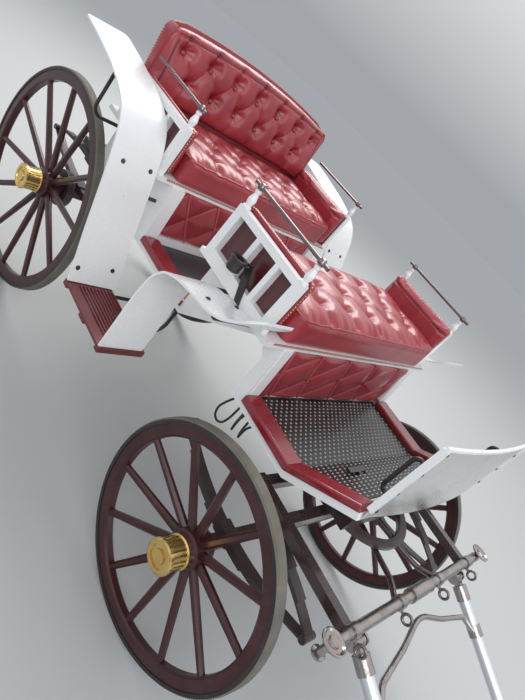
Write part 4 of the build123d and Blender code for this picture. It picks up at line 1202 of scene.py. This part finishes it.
def addArmNails(name, place):
    front, rear, pitch, ends = place["front"], place["nailsRear"], nailSizes["armPitch"], nailSizes["armEnds"]
    for side, word in ((-1, "Right"), (1, "Left")):
        pad = bpy.data.objects[name + word]
        x = side * (place["outer"] - nailSizes["armIn"])
        heights = steps(nailSizes["armLow"], place["top"] - nailSizes["armTop"], pitch)
        addNails(name + word + "FrontNails", pad, [mm(x, front - 100, z) for z in heights], (0, 1, 0))
        places = steps(front + ends, rear - ends, pitch)
        addNails(name + word + "TopNails", pad, [mm(x, y, 1600) for y in places], (0, 0, -1))


for armName, armPlace in armPlaces.items():
    addArmNails(armName, armPlace)


def addBackNails():
    matrix = backFrame(nailSizes["backIn"])
    for side, word in ((-1, "Right"), (1, "Left")):
        starts = [matrix @ Vector((side * 0.7, rise, 0)) for rise in steps(*nailSizes["backRise"])]
        addNails("back" + word + "Nails", bpy.data.objects["backCover"], starts, (-side, 0, 0))


addBackNails()

boltSizes = {"washer": 0.0095, "thick": 0.0014, "head": 0.0062, "rise": 0.0042, "round": 0.0016}


def makeBolt():
    clearSelection()
    washer, thick = boltSizes["washer"], boltSizes["thick"]
    spot = (0, 0, thick / 2)
    bpy.ops.mesh.primitive_cylinder_add(vertices=18, radius=washer, depth=thick, location=spot)
    bolt = fresh("bolt")
    settle(bolt)
    selectIn(bolt, "faces", lambda face: face.normal.z > 0.9)
    bpy.ops.mesh.inset(thickness=washer - boltSizes["head"])
    bpy.ops.mesh.extrude_region_move(TRANSFORM_OT_translate={"value": (0, 0, boltSizes["rise"])})
    bpy.ops.mesh.bevel(offset=boltSizes["round"], segments=2, affect="EDGES")
    closeEdit()
    return bolt


boltPlaces = {
    "front_wings": ([(-800, 515), (-675, 500)], (0, 0, -1)),
    "rear_wings": ([(-800, 1239), (-670, 1241), (-835, 1066), (-682, 1074)], (0, 0, -1)),
    "dash": ([(-500, 1298), (-500, 1205), (-500, 1110), (-492, 1016)], (0, 1, 0)),
}


def addBolts():
    for node, (spots, way) in boltPlaces.items():
        places = []
        for x, other in spots:
            for side in (1, -1):
                start = mm(side * x, -420, other) if node == "dash" else mm(side * x, other, 1400)
                places.append(onSkin(nodes[node], start, way))
        found = [place for place in places if place]
        print("bolts:", node, len(found), "of", len(places))
        row = repeat(makeBolt(), found, "bolts_" + node)
        finishPiece(row, "bolt", 40)


addBolts()

studSizes = {
    "radius": 0.0045, "height": 0.0024, "across": 1.3, "cut": 0, "mesh": (8, 4),
    "x": (-446, 413, 33.0), "y": (-172, 312, 17.0),
}


def addStuds():
    # rows of low domes, each row set half a step aside, on the floor and up the toe board
    places = []
    for number, y in enumerate(steps(*studSizes["y"])):
        aside = studSizes["x"][2] / 2 * (number % 2)
        for x in steps(*studSizes["x"]):
            place = onSkin(nodes["front_mat"], mm(x + aside, y, 1500), (0, 0, -1))
            if place:
                places.append(place)
    print("studs:", len(places))
    studs = repeat(makeDome("stud", studSizes), places, "matStuds")
    # the studs take the light grey of a painted highlight
    finishPiece(studs, "stud", 50)


addStuds()
print("stage: nails, bolts and studs")


# Stage and light

stageSettings = {
    "floor": (0.527, 0.527, 0.517), "sky": (0.88, 0.93, 1.0), "skyStrength": 0.70,
    "backdrop": (0.36, 0.375, 0.40), "overhead": (1.0, 1.0, 1.0), "sweep": (0.03, 0.42),
}


def addStage():
    clearSelection()
    bpy.ops.mesh.primitive_plane_add(size=60, location=(0, 0, 0))
    floor = fresh("floor")
    material, tree, shader = newMaterial("floorPaper")
    setInputs(shader, {"Base Color": (*stageSettings["floor"], 1), "Roughness": 0.85})
    floor.data.materials.append(material)
    world = bpy.data.worlds.new("studio")
    scene.world = world
    world.use_nodes = True
    tree = world.node_tree
    sky = tree.nodes["Background"]
    setInputs(sky, {"Color": (*stageSettings["sky"], 1), "Strength": stageSettings["skyStrength"]})
    paper = newNode(tree, "Background", {"Strength": 1.0})
    height = remap(tree, heightAbove(tree, "Generated"), *stageSettings["sweep"])
    sweep = blendColours(tree, height, stageSettings["backdrop"], stageSettings["overhead"])
    link(tree, sweep, paper.inputs["Color"])
    path = newNode(tree, "LightPath")
    seen = combine(tree, path.outputs["Is Camera Ray"], path.outputs["Is Glossy Ray"], "MAXIMUM")
    seen = combine(tree, seen, path.outputs["Is Transmission Ray"], "MAXIMUM")
    mix = newNode(tree, "MixShader")
    link(tree, seen, mix.inputs[0])
    link(tree, sky.outputs[0], mix.inputs[1])
    link(tree, paper.outputs[0], mix.inputs[2])
    link(tree, mix.outputs[0], tree.nodes["World Output"].inputs["Surface"])


lightSettings = {
    "skyRight": ((-4.5, -3.5, 5.0), (0, 0, 0.8), (4.5, 4.5), 165, (0.93, 0.96, 1.0)),
    "skyBack": ((2.5, 4.5, 5.5), (0, 0.4, 1.0), (5, 3), 300, (1.0, 0.99, 0.97)),
    "skyFront": ((1.0, -5.5, 3.2), (0, -0.4, 0.7), (4, 3), 70, (0.96, 0.97, 1.0)),
}


def addLight(name, place, target, size, power, colour):
    data = bpy.data.lights.new(name, "AREA")
    data.shape = "RECTANGLE"
    data.size, data.size_y = size
    data.energy = power
    data.color = colour
    light = bpy.data.objects.new(name, data)
    scene.collection.objects.link(light)
    light.location = place
    aim = Vector(target) - Vector(place)
    light.rotation_euler = aim.to_track_quat("-Z", "Y").to_euler()


addStage()
addCamera()
for lightName, values in lightSettings.items():
    addLight(lightName, *values)
print("stage: floor, camera and light")

bpy.context.view_layer.update()
